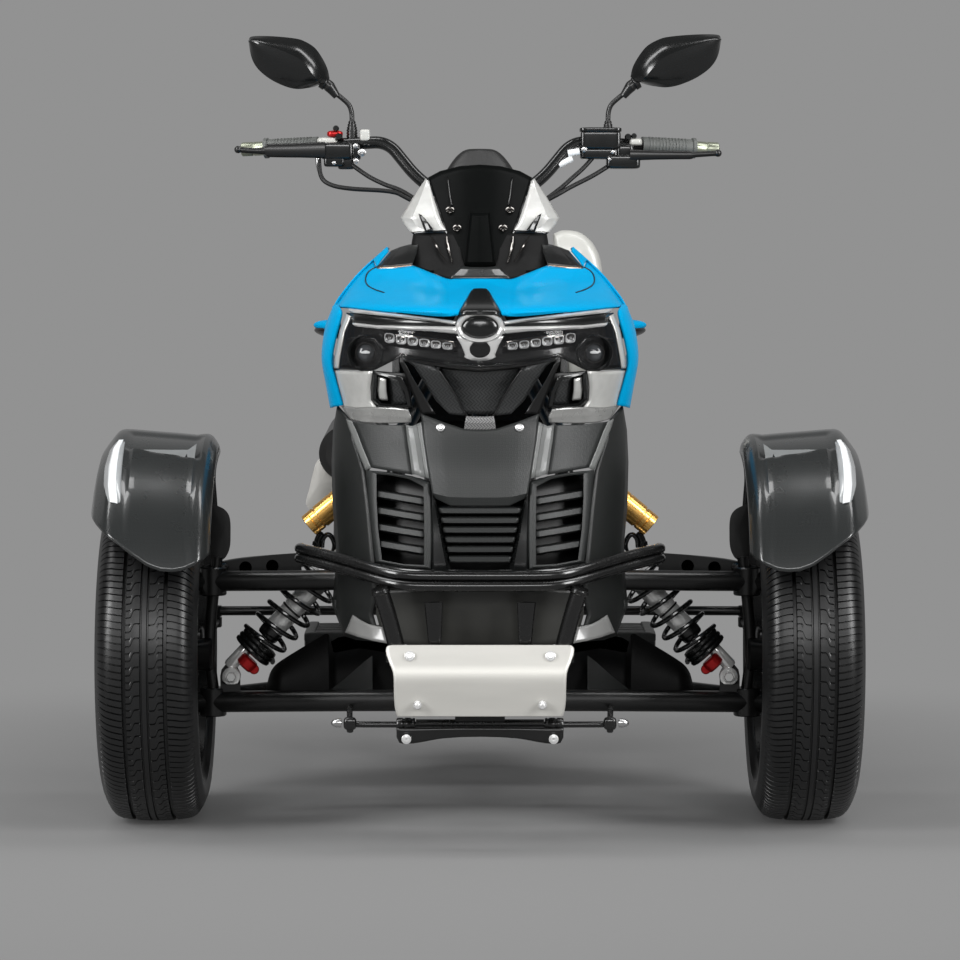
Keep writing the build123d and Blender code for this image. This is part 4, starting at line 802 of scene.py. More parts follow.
# %% Hood
SILL_Z = np.array((0.703, 0.740, 0.785, 0.830, 0.855, 0.872, 0.890, 0.925, 0.966))
LAMP_EDGE = [
    (343.5, 405, 4), (336.5, 380, 5), (332.8, 362, 5), (336.5, 338, 6), (342.5, 314, 8), (338.5, 306, 4)]
BONNET_Z = (0.868, 0.871, 0.877, 0.900, 0.922, 0.944)
BONNET = [
    [(345, 306.5, 7), (375, 309.8, 9), (405, 313.2, 9), (432, 316, 10), (445, 316.5, 10),
     (452, 315.5, 9), (459, 311, 8), (466, 298, 6), (472, 290, 4), (480, 288, 4)],
    [(346, 303.5, 10), (376, 306.5, 13), (405, 309.8, 14), (432, 311.8, 15), (445, 312, 12),
     (451, 310.5, 7), (458, 306, 5), (466, 295, 3), (472.5, 288, 2), (480, 286.5, 2)],
    [(349, 298.5, 9), (377, 301.5, 13), (405, 304.5, 15), (431, 306, 15), (444.5, 305.5, 11),
     (450, 303.5, 3), (457, 299, 0), (466, 291, -1), (473, 286, -2), (480, 285, -2)],
    [(357.5, 286, 6), (381, 290, 10), (405, 293, 13), (430, 295.5, 12), (444, 296.5, 8), (449.5, 296, 0),
     (456, 293.5, -3), (465, 288, -4), (473, 284, -5), (480, 283.5, -5)],
    [(366, 276, 4), (385, 279, 7), (405, 281, 9), (430, 285.5, 7), (444, 288, 4), (449.5, 288.5, -2),
     (456, 287.5, -4), (465, 284.5, -6), (473, 282, -6), (480, 281.5, -6)],
    [(377, 267.5, 2), (388, 267.5, 2), (400, 267, 2), (412, 265.5, 2), (431, 272.5, 0), (447, 278.5, -2),
     (456, 278.5, -4), (465, 278.5, -5), (473, 278.5, -5), (480, 278.5, -5)],
]
side_x = -0.985 * level(NOSE, SILL_Z)[:, 0]
sill = smooth_path(np.stack([side_x, form_front(NOSE, side_x, SILL_Z), SILL_Z], axis=-1), 80)
sill_at = np.stack([np.interp(BONNET_Z, sill[:, 2], sill[:, axis]) for axis in range(3)], axis=-1)
bonnet = lattice(smooth_grid(np.concatenate([sill_at[:, None], seen(BONNET)], axis=1), 40, 80))
low_sill = sill[sill[:, 2] < BONNET_Z[0] + 0.001]
lamp_edge = smooth_path(seen(LAMP_EDGE), len(low_sill))
mix = np.linspace(0, 1, 7)[None, :, None]
swell = np.array((-0.003, -0.006, 0)) * np.sin(np.pi * mix)
strip = about_face(lattice(low_sill[:, None] * (1 - mix) + lamp_edge[:, None] * mix + swell))
top_sill = sill[sill[:, 2] > BONNET_Z[-1] - 0.001]
top_marks = smooth_path(seen([(377, 267.5, 2), (382, 260, 1), (389, 251.5, 0)]), len(top_sill))
shoulder = about_face(lattice(top_sill[:, None] * (1 - mix) + top_marks[:, None] * mix))
run = np.linspace(0, 1, 14)[None, :]
x, y, z = sill.T[..., None]
rise = 0.05 * run ** 2 * np.clip((0.80 - z) / 0.1, 0, 1)
rear = np.stack([x * (1 + 0.018 * np.sin(np.pi / 2 * run)), y + run * (-0.430 - y), z + rise], axis=-1)
skins = both(strip) + both(bonnet) + both(shoulder) + both(lattice(rear))
piece("bonnet", skins, blue_paint, "chassis", "blue", ["hood"], crease=40, wall=0.004)
SEAM = [
    (383, 265, 3), (374, 268, 4), (367.5, 273, 5.5), (365.5, 280, 7), (368, 285.5, 8.5), (375, 289.5, 11),
    (384, 292.5, 13)]
pair("hood_seams", swept(smooth_path(seen(SEAM), 40), 0.0011, 8), black_deep, "black_gloss")

# %% [markdown]
# Small fins stand out at the rear ends of the side walls, each with a black keel. Two gloss inserts with a
# bronze edge close the hood towards the cowl.

# %% Fins and inserts
def flick(sign):
    """Small fin at the rear of the side wall: a blade that tapers outwards, as rows across of a flat
    oval."""
    out = np.sin(np.linspace(0, np.pi / 2, 14))[:, None]
    close = np.sqrt(1.0005 - out ** 2)
    turn = np.linspace(0, 2 * np.pi, 20, endpoint=False)[None, :]
    x = 0.246 + 0.048 * out
    y = AXLE_Y + 0.285 + 0.030 * out + (0.044 - 0.014 * out) * close * np.cos(turn)
    z = 0.829 + 0.003 * out + 0.0125 * close * np.sin(turn)
    return lattice(np.stack([sign * x + 0 * turn, y, z], axis=-1), wrap=True)


def under_flick(sign):
    """Black keel below the fin: the same blade, a little lower and thinner."""
    points, faces = flick(sign)
    return points * (0.995, 1, 1) + (0, -0.004, -0.009), faces


piece("flicks", [flick(1), flick(-1)], blue_paint, "chassis", "blue")
piece("flick_keels", [under_flick(1), under_flick(-1)], black_gloss, "chassis", "black_gloss")
INSERT = [
    [(377, 267, 1), (389, 266.3, 2), (401, 265.5, 2), (412, 264.5, 2)],
    [(383, 260, 1), (394, 257, 3), (405, 254.5, 3), (416, 254, 2)],
    [(391, 250.5, 0), (400, 247, 1), (409, 244.5, 1), (419, 243, 0)],
]
pair("hood_inserts", about_face(net(INSERT, (6, 6))), black_gloss, "black_gloss", wall=0.003)
INSERT_EDGE = [
    [(376.5, 268.6, 3), (394, 267.7, 3.5), (412, 266, 3)],
    [(378, 265.6, 3), (394, 265.2, 4), (411, 263.8, 3)],
]
pair("insert_edges", about_face(net(INSERT_EDGE, (2, 6))), bronze_edge, "chrome", wall=0.002)

# %% [markdown]
# The lamp band sits behind one clear cover. Inside are a black reflector floor, a row of small light blocks
# on each side, and a projector in a dark ring near each corner. A chrome wing runs along the top of the
# cover to the badge, and a light strip stands along its outer edge.

# %% Lamp band
LAMP_TOP = [(346, 312), (374, 316), (400, 318.5), (425, 321), (450, 324), (480, 326)]
LAMP_LOW = [(333, 369.5), (374, 370.5), (399.5, 357), (425, 361.5), (450, 365), (480, 367.5)]


def band(lift, inset=0.0, middle=None):
    """Rows of the lamp band from its top edge to its low edge, at one lift, with an extra middle row."""
    top = [(a + inset, b + inset, lift) for a, b in LAMP_TOP]
    low = [(a + inset, b - inset, lift) for a, b in LAMP_LOW]
    deep = lift if middle is None else middle
    mid = [((p[0] + q[0]) / 2, (p[1] + q[1]) / 2, deep) for p, q in zip(top, low)]
    return [top, mid, low]


panel("lamp_floor", band(-26, 0.5, -34), (5, 5), black_gloss, "black_gloss", ["headlight_unit"], wall=0.004)
lip_rows = [[(a, b, 0) for a, b in LAMP_LOW], [(a, b - 1.5, -26) for a, b in LAMP_LOW]]
panel("lamp_lip", lip_rows, (3, 5), black_gloss, "black_gloss", wall=0.002)
panel("lamp_cover", band(1, 0.8, 3), (6, 6), lens_clear, "clear", ["headlight_cover"], wall=0.002)

# %% [markdown]
# A projector is turned about its own axis: a stepped dark ring, a bright bezel and a domed lens with a
# cut-off bar. The light blocks are shallow cups, rows of a squared-off oval from the rim down to a bright
# middle.

# %% Projectors and light blocks
RING = [(-0.02, 0.030), (0.004, 0.030), (0.006, 0.0285), (0.003, 0.0265), (-0.006, 0.022), (-0.010, 0.017)]
BEZEL = [(-0.010, 0.0172), (-0.004, 0.0166), (-0.004, 0.0152), (-0.010, 0.0146)]
CUP = ((1.0, -10), (0.86, -9), (0.70, -17), (0.34, -19), (0.10, -13))


def projector(px, py):
    """Projector seen head on: stepped dark ring, bright bezel, domed lens with a cut-off bar."""
    centre = seen([(px, py, -12)])[0]
    ring = turned(centre, (0, -1, 0), RING, 40)
    bezel = turned(centre, (0, -1, 0), BEZEL, 40)
    a = np.linspace(0, np.pi / 2, 9)
    dome = turned(centre, (0, -1, 0), np.stack([-0.012 + 0.010 * np.cos(a), 0.0150 * np.sin(a)], axis=-1),
        40)
    bar = pillow(centre + (0, -0.003, 0.001), (0.0075, 0.0012, 0.0022), 3.0, 10, 16)
    return ring, bezel, dome, bar


rings, bezels, domes, bars = zip(projector(365.5, 353), projector(594.5, 353))
piece("projector_rings", list(rings), black_gloss, "chassis", "black_gloss")
piece("projector_bezels", list(bezels), dark_chrome, "chassis", "chrome")
lens_glass = finish("lens_glass", (0.06, 0.065, 0.07), 0.05, coat=1.0, grain=200, bump=0.0, drift=0.1)
piece("projector_lenses", list(domes), lens_glass, "chassis", "clear")
piece("projector_bars", list(bars), lamp_white, "chassis", "clear")
HOUSING = [
    [(344, 340, -16), (352, 338, -10), (374, 339, -10), (384, 350, -14)],
    [(346, 343, -24), (354, 341.5, -22), (373, 342, -22), (380, 351, -24)],
]
panel("projector_brows", HOUSING, (3, 5), black_gloss, "black_gloss")


def light_block(px, py, wide, tall, turn):
    """One small lamp in the row: a shallow faceted cup, rows from its rim down to a bright middle."""
    angle = np.linspace(0, 2 * np.pi, 13)[:-1] + turn
    across, up = signed_power(np.cos(angle), 2 / 0.6), signed_power(np.sin(angle), 2 / 0.6)
    scale, lift = np.array(CUP).T[..., None]
    down = py + tall * scale * up + 0.10 * wide * scale * np.cos(angle)
    return ring_net(np.stack(np.broadcast_arrays(px + wide * scale * across, down, lift), axis=-1), (2, 2))


blocks = []
for step in range(6):
    px, py = 389.5 + 11.6 * step, 338.0 + 1.65 * step
    blocks += both(light_block(px, py, 5.2, 5.0 - 0.25 * step, 0.3 * step))
cup_bright = finish("cup_bright", (0.78, 0.79, 0.80), 0.25, metal=0.35, coat=0.5, grain=260, bump=0.25,
    drift=0.30)
piece("light_blocks", blocks, cup_bright, "chassis", "chrome", crease=18)
TROUGH = [
    [(383, 331.5, -14), (408, 334, -14), (432, 338, -14), (456, 341.5, -14)],
    [(384, 345, -22), (408, 348.5, -22), (432, 350.5, -22), (457, 352.5, -22)],
]
panel("light_trough", TROUGH, (2, 5), dark_chrome, "chrome")
OUTER_STRIP = [
    [(346, 313.5, 2), (339.5, 330, 3), (333.8, 360, 3), (334, 368.5, 2)],
    [(350.5, 316, 3), (344, 332, 5), (339.5, 356, 5), (338, 368.5, 3)],
]
pair("lamp_side_strips", about_face(net(OUTER_STRIP, (3, 6))), silver_paint, "silver", wall=0.002)

# %% [markdown]
# Chrome: an upper and a lower rib on each side that close on the badge, a plain oval in a chrome ring, a
# black ornament above it and a small black window in a chrome collar below.

# %% Chrome wings and badge
UPPER_RIB = [
    [(347.5, 308.0, 3), (375, 311.0, 5), (402, 314.0, 6), (430, 317.5, 7), (456, 321, 8)],
    [(348.5, 310.2, 8), (375, 313.2, 11), (402, 316.0, 12), (430, 319.4, 13), (455, 323, 14)],
    [(350.5, 312.6, 3), (376, 315.4, 5), (402, 318.2, 6), (430, 321.2, 7), (455, 325, 8)],
]
LOWER_RIB = [
    [(352, 322.5, 2), (376, 325, 3), (402, 325.6, 4), (430, 326.0, 5), (456, 326.5, 7)],
    [(353, 324.6, 5), (377, 327.2, 7), (402, 328.0, 8), (430, 328.8, 9), (456, 330, 12)],
    [(355, 326.4, 2), (378, 329.0, 3), (402, 330.0, 4), (430, 331.2, 5), (457, 334, 7)],
]
INLAY = [
    [(350, 312, 2), (376, 315, 3), (402, 318, 4), (430, 321, 5), (452, 324, 6)],
    [(352.5, 323, 1), (376, 325.5, 2), (402, 326, 3), (430, 326.3, 4), (452, 327, 5)],
]
wings = both(net(UPPER_RIB, (3, 6))) + both(net(LOWER_RIB, (3, 6)))
piece("chrome_wings", wings, bright_trim, "chassis", "chrome", ["nose_trim"], crease=50, wall=0.002)
panel("wing_inlays", INLAY, (2, 6), black_gloss, "black_gloss", wall=0.002)


def oval(profile, px=CENTRE_LINE, py=327.2, steps=64):
    """Closed rows round the badge: each profile entry is (half width, half height, lift)."""
    angle = np.linspace(0, 2 * np.pi, steps + 1)
    wide, tall, lift = np.array(profile, float).T[..., None]
    rows = np.broadcast_arrays(px + wide * np.cos(angle), py + tall * np.sin(angle), lift)
    return net(np.stack(rows, axis=-1), (1, 1))


RING_ROWS = [
    (25.0, 16.6, 4), (24.4, 16.2, 9), (22.4, 14.6, 13), (20.2, 12.8, 12), (18.7, 11.6, 8), (18.4, 11.4, 4)]
OVAL_ROWS = [(18.7, 11.6, 6), (17.0, 10.4, 8), (13.0, 8.0, 10), (7.0, 4.3, 11.5), (0.2, 0.1, 12)]
WINDOW_ROWS = [(10.6, 8.6, 9), (10.2, 8.2, 12), (7.0, 5.6, 13), (0.2, 0.2, 13.5)]
piece("badge_ring", oval(RING_ROWS), bright_trim, "chassis", "chrome", crease=60)
piece("badge_oval", oval(OVAL_ROWS), black_gloss, "chassis", "black_gloss", crease=60)
ORNAMENT = [
    [(480, 288.0, 4), (486, 288.3, 4), (488.5, 290, 3)],
    [(480, 289.5, 9), (487, 290.2, 8), (490, 292.5, 4)],
    [(480, 298, 14), (490, 299, 12), (494, 301, 5)],
    [(480, 307, 17), (495, 308.5, 14), (500, 311, 6)],
    [(480, 314.5, 16), (497, 315.5, 12), (503.5, 318, 6)],
]
panel("badge_ornament", ORNAMENT, (5, 5), black_gloss, "black_gloss", crease=50)
COLLAR = [
    [(480, 341.5, 9), (490, 340.8, 9), (498, 338, 6), (504, 336, 3)],
    [(480, 350, 9), (489.5, 349, 9), (494.5, 347, 6), (499, 345, 2)],
    [(480, 358.5, 8), (487, 358, 8), (491.5, 356.5, 5), (495, 355, 1)],
    [(480, 361, 4), (488, 360.5, 4), (492.5, 359, 3), (496, 357, 0)],
]
panel("badge_collar", COLLAR, (4, 4), bright_trim, "chrome", crease=40)
piece("badge_window", oval(WINDOW_ROWS, CENTRE_LINE, 349.2, 40), black_gloss, "chassis", "black_gloss",
    crease=60)

# %% [markdown]
# Below the lamps: silver cheeks with a dark C-shaped duct in each, and a V of woven fibre between them.

# %% Cheeks and ducts
CHEEK = [
    [(333.5, 370.5, 1), (350, 371.5, 4), (372, 371.5, 6)],
    [(335.5, 386, 1), (350, 387, 6), (370, 388, 9)],
    [(338.5, 398, 1), (352, 400, 7), (371, 401, 10)],
    [(341, 406, 1), (356, 408.5, 8), (376, 407.5, 11)],
]
CHEEK_FOOT = [
    [(341, 406, 1), (356, 408.5, 8), (376, 407.5, 11), (392, 408, 11), (407.5, 409.5, 10)],
    [(345.5, 413, 1), (358, 415, 6), (377, 415.5, 9), (393, 416, 9), (411, 417.5, 8)],
    [(350, 419, 0), (362, 422.5, 2), (378, 423.5, 3), (394, 423.5, 3), (411, 422.5, 3)],
]
panel("cheeks", CHEEK, (5, 5), silver_paint, "silver", ["fascia", "nose_grille"], crease=30)
# Painted shade: the foot of each cheek, which turns under, takes a darker copy of the silver paint.
cheek_painted_shade = finish("cheek_painted_shade", (0.34, 0.34, 0.33), 0.28, metal=0.4, coat=0.6, grain=900, bump=0.02)
panel("cheek_feet", CHEEK_FOOT, (5, 4), cheek_painted_shade, "silver", crease=30)
DUCT_OUTER = [
    (373, 371), (381, 372.5), (401, 376), (409, 392), (412, 407), (404, 409), (379, 407), (371, 400)]
DUCT_INNER = [
    (377, 374.5), (384, 376), (398, 380), (404.5, 392), (407.5, 404.5), (401, 405.5), (381.5, 403),
    (376, 397.5)]
DUCT_RINGS = ((DUCT_OUTER, 10), (DUCT_INNER, 13), (DUCT_INNER, -14))
duct = ring_net([[(a, b, lift) for a, b in edge] for edge, lift in DUCT_RINGS], (2, 4))
pair("duct_frames", duct, black_gloss, "black_gloss", crease=35, wall=0.002)
DUCT_BLADE = [
    [(378, 377, 6), (385.5, 379.5, 6)],
    [(377.5, 390, 9), (386, 392, 8)],
    [(379, 400, 6), (387.5, 400.5, 5)],
]
panel("duct_blades", DUCT_BLADE, (4, 3), silver_paint, "silver")
DUCT_MESH = [[(388, 376, -6), (400, 380, -6)], [(391, 405, -6), (408, 405, -6)]]
panel("duct_meshes", DUCT_MESH, (6, 4), carbon_cross, "black_gloss", wall=0.002)
DUCT_BACK = [[(372, 371, -18), (408, 374, -18)], [(371, 407, -18), (412, 409, -18)]]
panel("duct_backs", DUCT_BACK, (5, 5), black_deep, "black_gloss", wall=0.002)

# %% [markdown]
# The V: a smooth frame, two woven wings with a step along their inner edges, a sunk middle, a brow above
# and a mesh tongue at the foot.

# %% V grille
VEE_FRAME = [
    [(399.5, 356.5, 4), (399, 361, 12), (404, 372, 14), (413, 395, 14), (421, 414, 12)],
    [(404, 358.5, 6), (405, 364, 15), (411, 376, 16), (424, 397, 14), (435, 414, 10)],
]
VEE_WING = [
    [(405, 359.5, 8), (414, 366.5, 4), (424, 382, 2), (436, 401, 3), (449, 414, 6)],
    [(421, 363, 4), (426, 368.5, 6), (437, 382, 8), (449, 400, 10), (457, 415, 10)],
    [(436, 366, 1), (438.5, 371, 10), (448, 384, 13), (458, 400, 14), (465.5, 415.5, 12)],
]
VEE_MIDDLE = [
    [(438, 366.5, -6), (459, 369, -5), (480, 370, -5)],
    [(450, 386, -8), (465, 388, -8), (480, 388.5, -8)],
    [(466, 414, -3), (473, 414.5, -3), (480, 414.5, -3)],
]
VEE_BROW = [
    [(399.5, 355.5, 1), (425, 360.5, 2), (450, 364.5, 2), (480, 367, 2)],
    [(402, 359, 9), (425, 364, 9), (450, 368, 8), (480, 370.5, 8)],
    [(404, 361, 2), (425, 366, 0), (450, 370, -4), (480, 372.5, -4)],
]
VEE_STEP = [
    [(438.5, 369, 11), (449.5, 385, 14), (459, 400.5, 15), (466.5, 416, 13)],
    [(441, 369, -7), (451.5, 385, -8), (461, 400.5, -7), (468, 416, -4)],
]
pair("vee_wings", about_face(net(VEE_WING, (4, 5))), carbon_cross, "black_gloss", crease=30, wall=0.003)
panel("vee_middle", VEE_MIDDLE, (6, 6), carbon_cross, "black_gloss")
vee = both(about_face(net(VEE_FRAME, (3, 5)))) + both(net(VEE_BROW, (3, 6)))
vee += both(about_face(net(VEE_STEP, (2, 4))))
piece("vee_frame", vee, black_satin, "chassis", "black_gloss", crease=30, wall=0.002)
VEE_TONGUE = [
    [(466, 416, 12), (473, 416.5, 13), (480, 416.5, 13)],
    [(465, 422, 15), (472, 423, 16), (480, 423, 16)],
    [(464, 429.5, 10), (472, 430, 11), (480, 430, 11)],
]
tongue_mesh = weave("tongue_mesh", 0.0036, (0.02, 0.02, 0.02), (0.22, 0.22, 0.22), 0.4, 0.3, turn=np.pi / 4)
panel("vee_tongue", VEE_TONGUE, (4, 4), tongue_mesh, "black_gloss")

# %% [markdown]
# The black lower fascia is folded sheet: a side facet, a narrow bevel, a front facet and a raised bar. The
# bevel and the bar are coloured light grey as painted highlight, where the black sheet catches the light.

# %% Fascia facets
SIDE_FACET = [
    [(337, 406, -2), (345, 415, 0), (351, 422, 2)],
    [(333, 430, -2), (342, 434, 0), (353, 440, 2)],
    [(331.5, 462, -2), (347, 465, 0), (364, 471, 2)],
    [(332.5, 505, -2), (350, 507, 0), (369, 510, 2)],
    [(336, 546, -2), (352, 552, 0), (374, 561, 2)],
    [(335, 575, -2), (352, 585, -1), (377, 592, 0)],
    [(332, 605, -2), (350, 610, -2), (372, 614, -4)],
    [(344, 636, -4), (356, 640, -4), (380, 642, -6)],
]
panel("fascia_sides", SIDE_FACET, (5, 5), black_grained, "black_gloss", crease=30)
BEVEL = [
    [(346, 419, 1), (352, 421.5, 7)],
    [(349, 430, 1), (356.5, 431, 8)],
    [(356.5, 449, 1), (363, 448, 8)],
    [(365.5, 470.5, 2), (371, 467.5, 7)],
]
# Painted highlight: the bevel strip is light grey, standing for the light caught by a black bevel.
bevel_painted_highlight = finish("bevel_painted_highlight", (0.17, 0.175, 0.17), 0.35, coat=0.2, grain=500, bump=0.02)
panel("fascia_bevels", BEVEL, (5, 3), bevel_painted_highlight, "black_gloss", crease=30, wall=0.002)
FRONT_FACET = [
    [(352, 421.5, 7), (378, 424.5, 6), (405.5, 425, 6)],
    [(356.5, 431, 8), (382, 432, 7), (407, 432, 7)],
    [(363, 448, 8), (388, 450, 8), (409, 452, 8)],
    [(371, 467.5, 7), (392, 471, 7), (412, 474.5, 7)],
]
panel("fascia_fronts", FRONT_FACET, (5, 5), fascia_black, "black_gloss", crease=30)
# Painted highlight: the raised bar is light grey where the black sheet would catch the light.
BAR = [
    [(405.5, 425, 6), (408, 425.5, 13), (412.5, 426, 13), (417, 424, 5), (421, 422, 8)],
    [(407, 440, 7), (410, 440.5, 14), (415, 441, 14), (420, 441, 5), (424, 441, 8)],
    [(412, 474.5, 7), (415, 474.5, 14), (420.5, 476, 14), (425.5, 477.5, 5), (429, 478.5, 8)],
]
panel("fascia_bars", BAR, (5, 3), bar_painted_highlight, "black_gloss", crease=25, wall=0.002)

# %% [markdown]
# Each side vent is a frame that turns inwards, with four sloping slats, each a blade folded over at its
# front edge.

# %% Side vents
VENT_OUT = [
    (365.5, 470), (388, 472), (412, 476), (430.5, 482), (431.5, 510), (431.5, 540), (431, 569),
    (404, 567), (375.5, 562), (371, 530), (368, 500)]
VENT_IN = [
    (376.5, 474), (391, 475.5), (409, 479), (423.5, 486.5), (424, 511), (424.3, 539), (424, 565),
    (403, 564), (382, 560), (378.2, 530), (376.5, 500)]
VENT_CREST = [(a * 0.45 + c * 0.55, b * 0.45 + d * 0.55) for (a, b), (c, d) in zip(VENT_OUT, VENT_IN)]
VENT_RINGS = ((VENT_OUT, 4), (VENT_CREST, 8), (VENT_IN, 6), (VENT_IN, -34))
vent = ring_net([[(a, b, lift) for a, b in edge] for edge, lift in VENT_RINGS], (2, 4))
pair("vent_frames", vent, fascia_black, "black_gloss", crease=35, wall=0.002)
SLAT = ((-2.4, -30), (0, 2), (5.2, 3), (7.2, -8))
slats = []
for step in range(4):
    left, right = 491.0 + 16.6 * step, 499.0 + 16.4 * step
    x0, x1 = 376.6 + 0.6 * step, 424.0
    line = ((x0, left), (400, (left + right) / 2), (x1, right))
    slats += both(net([[(px, py + drop, lift) for px, py in line] for drop, lift in SLAT], (2, 6)))
piece("vent_slats", slats, fascia_black, "chassis", "black_gloss", crease=28, wall=0.0015)

# %% [markdown]
# The raised middle panel, the stack of level louvres that narrows downwards, and the apron and belly below.

# %% Middle and louvres
MIDDLE = [
    [(421, 414, 10), (440, 421, 11), (464, 429, 11), (480, 430, 11)],
    [(423.5, 440, 10), (441, 441, 12), (462, 442, 12), (480, 442, 12)],
    [(428, 468, 10), (444, 468.5, 12), (462, 469, 12), (480, 469, 12)],
    [(432, 493, 10), (449, 497, 12), (464, 497.5, 12), (480, 497.5, 12)],
    [(434, 498, 3), (450.5, 506, 4), (465, 506.3, 4), (480, 506.3, 4)],
]
panel("fascia_middle", MIDDLE, (6, 6), fascia_black, "black_gloss", crease=30)
CHANNEL = [
    [(430.5, 482, 4), (432.5, 493.5, 8), (435.5, 500, 4)],
    [(431.5, 510, 4), (436, 512, 9), (439.5, 514, -8)],
    [(431.5, 540, 4), (441, 540, 9), (445, 541, -10)],
    [(431, 569, 2), (446, 566, 7), (450, 561, -8)],
    [(431, 578, 0), (447, 578, 3), (452, 578, 0)],
]
panel("louvre_cheeks", CHANNEL, (5, 4), black_gloss, "black_gloss", crease=28, wall=0.002)
LOUVRE = ((0, -3.2, -26, -26), (0, 0, 1, 2), (0.8, 4.4, 0, 1), (1, 5.6, -8, -8))
louvres = []
for step in range(6):
    py = 508.5 + 9.7 * step
    px = 438.5 + 2.1 * step
    rows = [[(px + inset, py + drop, end), (460, py + drop + 0.2, mid), (CENTRE_LINE, py + drop + 0.2, mid)]
            for inset, drop, end, mid in LOUVRE]
    louvres += both(net(rows, (2, 6)))
piece("louvres", louvres, fascia_black, "chassis", "black_gloss", crease=28, wall=0.0015)
# Painted shade: a black sheet stands some 40 mm behind the vents and louvres, for the shadow inside them.
VENT_SHADE = [
    [(368, 470, -44), (420, 478, -44), (480, 500, -40)],
    [(374, 566, -44), (424, 570, -44), (480, 572, -40)],
]
panel("vent_painted_shade", VENT_SHADE, (6, 6), black_deep, "black_gloss")
APRON = [
    [(376, 562, 2), (404, 567, 3), (431, 569, 3), (450, 570, 1), (480, 570, 1)],
    [(377, 590, 0), (398, 588, 2), (431, 586, 2), (450, 585, 2), (480, 585, 2)],
]
panel("fascia_apron", APRON, (4, 6), black_gloss, "black_gloss", crease=28)
BELLY = [
    [(377, 590, -2), (398, 588, -10), (431, 586, -14), (480, 585, -14)],
    [(376, 614, -6), (400, 616, -14), (431, 616, -18), (480, 616, -18)],
    [(384, 643, -8), (402, 644, -14), (431, 646, -18), (480, 646, -18)],
]
panel("belly_panel", BELLY, (5, 6), panel_grey, "black_gloss", crease=28)
GUSSET = [
    [(352.5, 615, 2), (360, 620, 8), (368, 624, 9), (382, 627, 6)],
    [(345, 632.5, 10), (358, 637, 20), (372, 640.5, 21), (388, 643.5, 14)],
]
gusset_sheen = finish("gusset_sheen", (0.20, 0.20, 0.195), 0.3, coat=0.5, grain=500, bump=0.03)
panel("fascia_gussets", GUSSET, (5, 5), gusset_sheen, "black_gloss", crease=28)
screws = [bolt(spot, (0, -1, 0.2), 0.0045) for spot in seen([(440.5, 427.5, 14), (519.5, 427.5, 14)])]
piece("fascia_screws", screws, steel, "chassis", "aluminium")

# %% [markdown]
# The cowl above the dash: a smoked screen with a raised tongue down its middle, silver wings that hug it
# from both sides, and ribs on the black base. It stands on a form of its own, that leans further back.

# %% Cowl
SCREEN = [
    [(428, 177.5, 0), (440, 171, 2), (460, 166, 3), (480, 164.5, 3)],
    [(428.8, 179.5, 4), (441, 174, 6), (460, 169.5, 7), (480, 168, 7)],
    [(433, 192, 2), (446, 188, 5), (462, 185.5, 6), (480, 184.5, 6)],
    [(439, 209, 1), (449, 207.5, 4), (464, 206, 5), (480, 205.5, 5)],
    [(447.5, 232, 1), (455, 231.5, 3), (467, 231, 4), (480, 231, 4)],
    [(456, 253, 0), (461.5, 253, 2), (471, 253, 3), (480, 253, 3)],
    [(460.5, 264.5, 0), (466, 265.5, 1), (473, 266, 2), (480, 266, 2)],
]
panel("screen", SCREEN, (5, 5), smoked, "smoked", ["windscreen"], table=COWL, crease=30)
TONGUE = [
    [(470.5, 212, 4), (472.5, 213, 12), (480, 213, 13)],
    [(468.5, 232, 4), (470.5, 232, 12), (480, 232, 13)],
    [(465, 262.5, 3), (467.5, 262, 11), (480, 262, 12)],
    [(465.5, 265.5, 1), (468.5, 265.5, 3), (480, 265.5, 3)],
]
panel("screen_tongue", TONGUE, (5, 4), smoked, "smoked", table=COWL, crease=25)
LEDGE = [
    [(447, 176.5, 8), (448, 181, 10)],
    [(448.5, 194, 7), (450, 194, 9)],
    [(450.5, 205, 6), (452, 205, 8)],
]
panel("screen_ledges", LEDGE, (4, 2), black_gloss, "smoked", table=COWL, wall=0.002)
SCREWS = [(450, 209.5, 9), (510, 209.5, 9), (457, 227.5, 9), (503, 227.5, 9)]
screws = [bolt(spot, (0, -1, 0.75), 0.0046) for spot in seen(SCREWS, COWL)]
piece("screen_screws", screws, dark_chrome, "chassis", "aluminium")
WING = [
    [(425.5, 178.5, 3), (412.5, 198, 6), (404, 212, 5), (400.5, 217.5, 3), (404.5, 225, 2),
     (411, 232.5, 0)],
    [(427, 180, 8), (420, 199, 14), (414, 213, 14), (412, 219, 13), (416, 225, 9), (424, 231.5, 4)],
    [(428.8, 181, 5), (433, 196, 6), (437, 208, 6), (440, 217, 6), (442, 223, 5), (446, 230, 3)],
]
pair("cowl_flanks", about_face(net(WING, (5, 5), COWL)), silver_paint, "silver", ["cowl_wings"], crease=25,
    wall=0.003)
# Painted shadow: a black strip runs back under the lower edge of each silver wing, where it overhangs the
# base.
WING_SHADE = [
    [(411, 232.5, 3), (424, 231.5, 6), (446, 230, 5)],
    [(416, 236.5, -4), (428, 235.5, -3), (448.5, 234.5, -3)],
]
panel("cowl_flank_shadows", WING_SHADE, (3, 5), black_gloss, "black_gloss", table=COWL, wall=0.002)
BASE = [
    [(413, 234.5, 0), (440, 234, 6), (449, 233.5, 2), (458, 234, 2)],
    [(411.5, 243.5, 6), (437, 246, 10), (448, 246, 2), (460, 247, 2)],
    [(411.5, 254.5, 14), (434, 259, 16), (449, 259.5, 6), (462, 258, 4)],
    [(412.5, 264.3, 16), (430, 270.5, 17), (449, 269, 12), (465, 267, 8)],
    [(413, 265.5, 8), (431, 272.5, 10), (448, 278, 11), (480, 278.3, 11)],
]
panel("dash_flare", BASE, (5, 5), shade_black, "black_gloss", ["dash_base"], table=COWL, crease=28)

# %% [markdown]
# Small parts of the cowl: dark slots in the wings, the sill below the screen and thin ribs on the base.

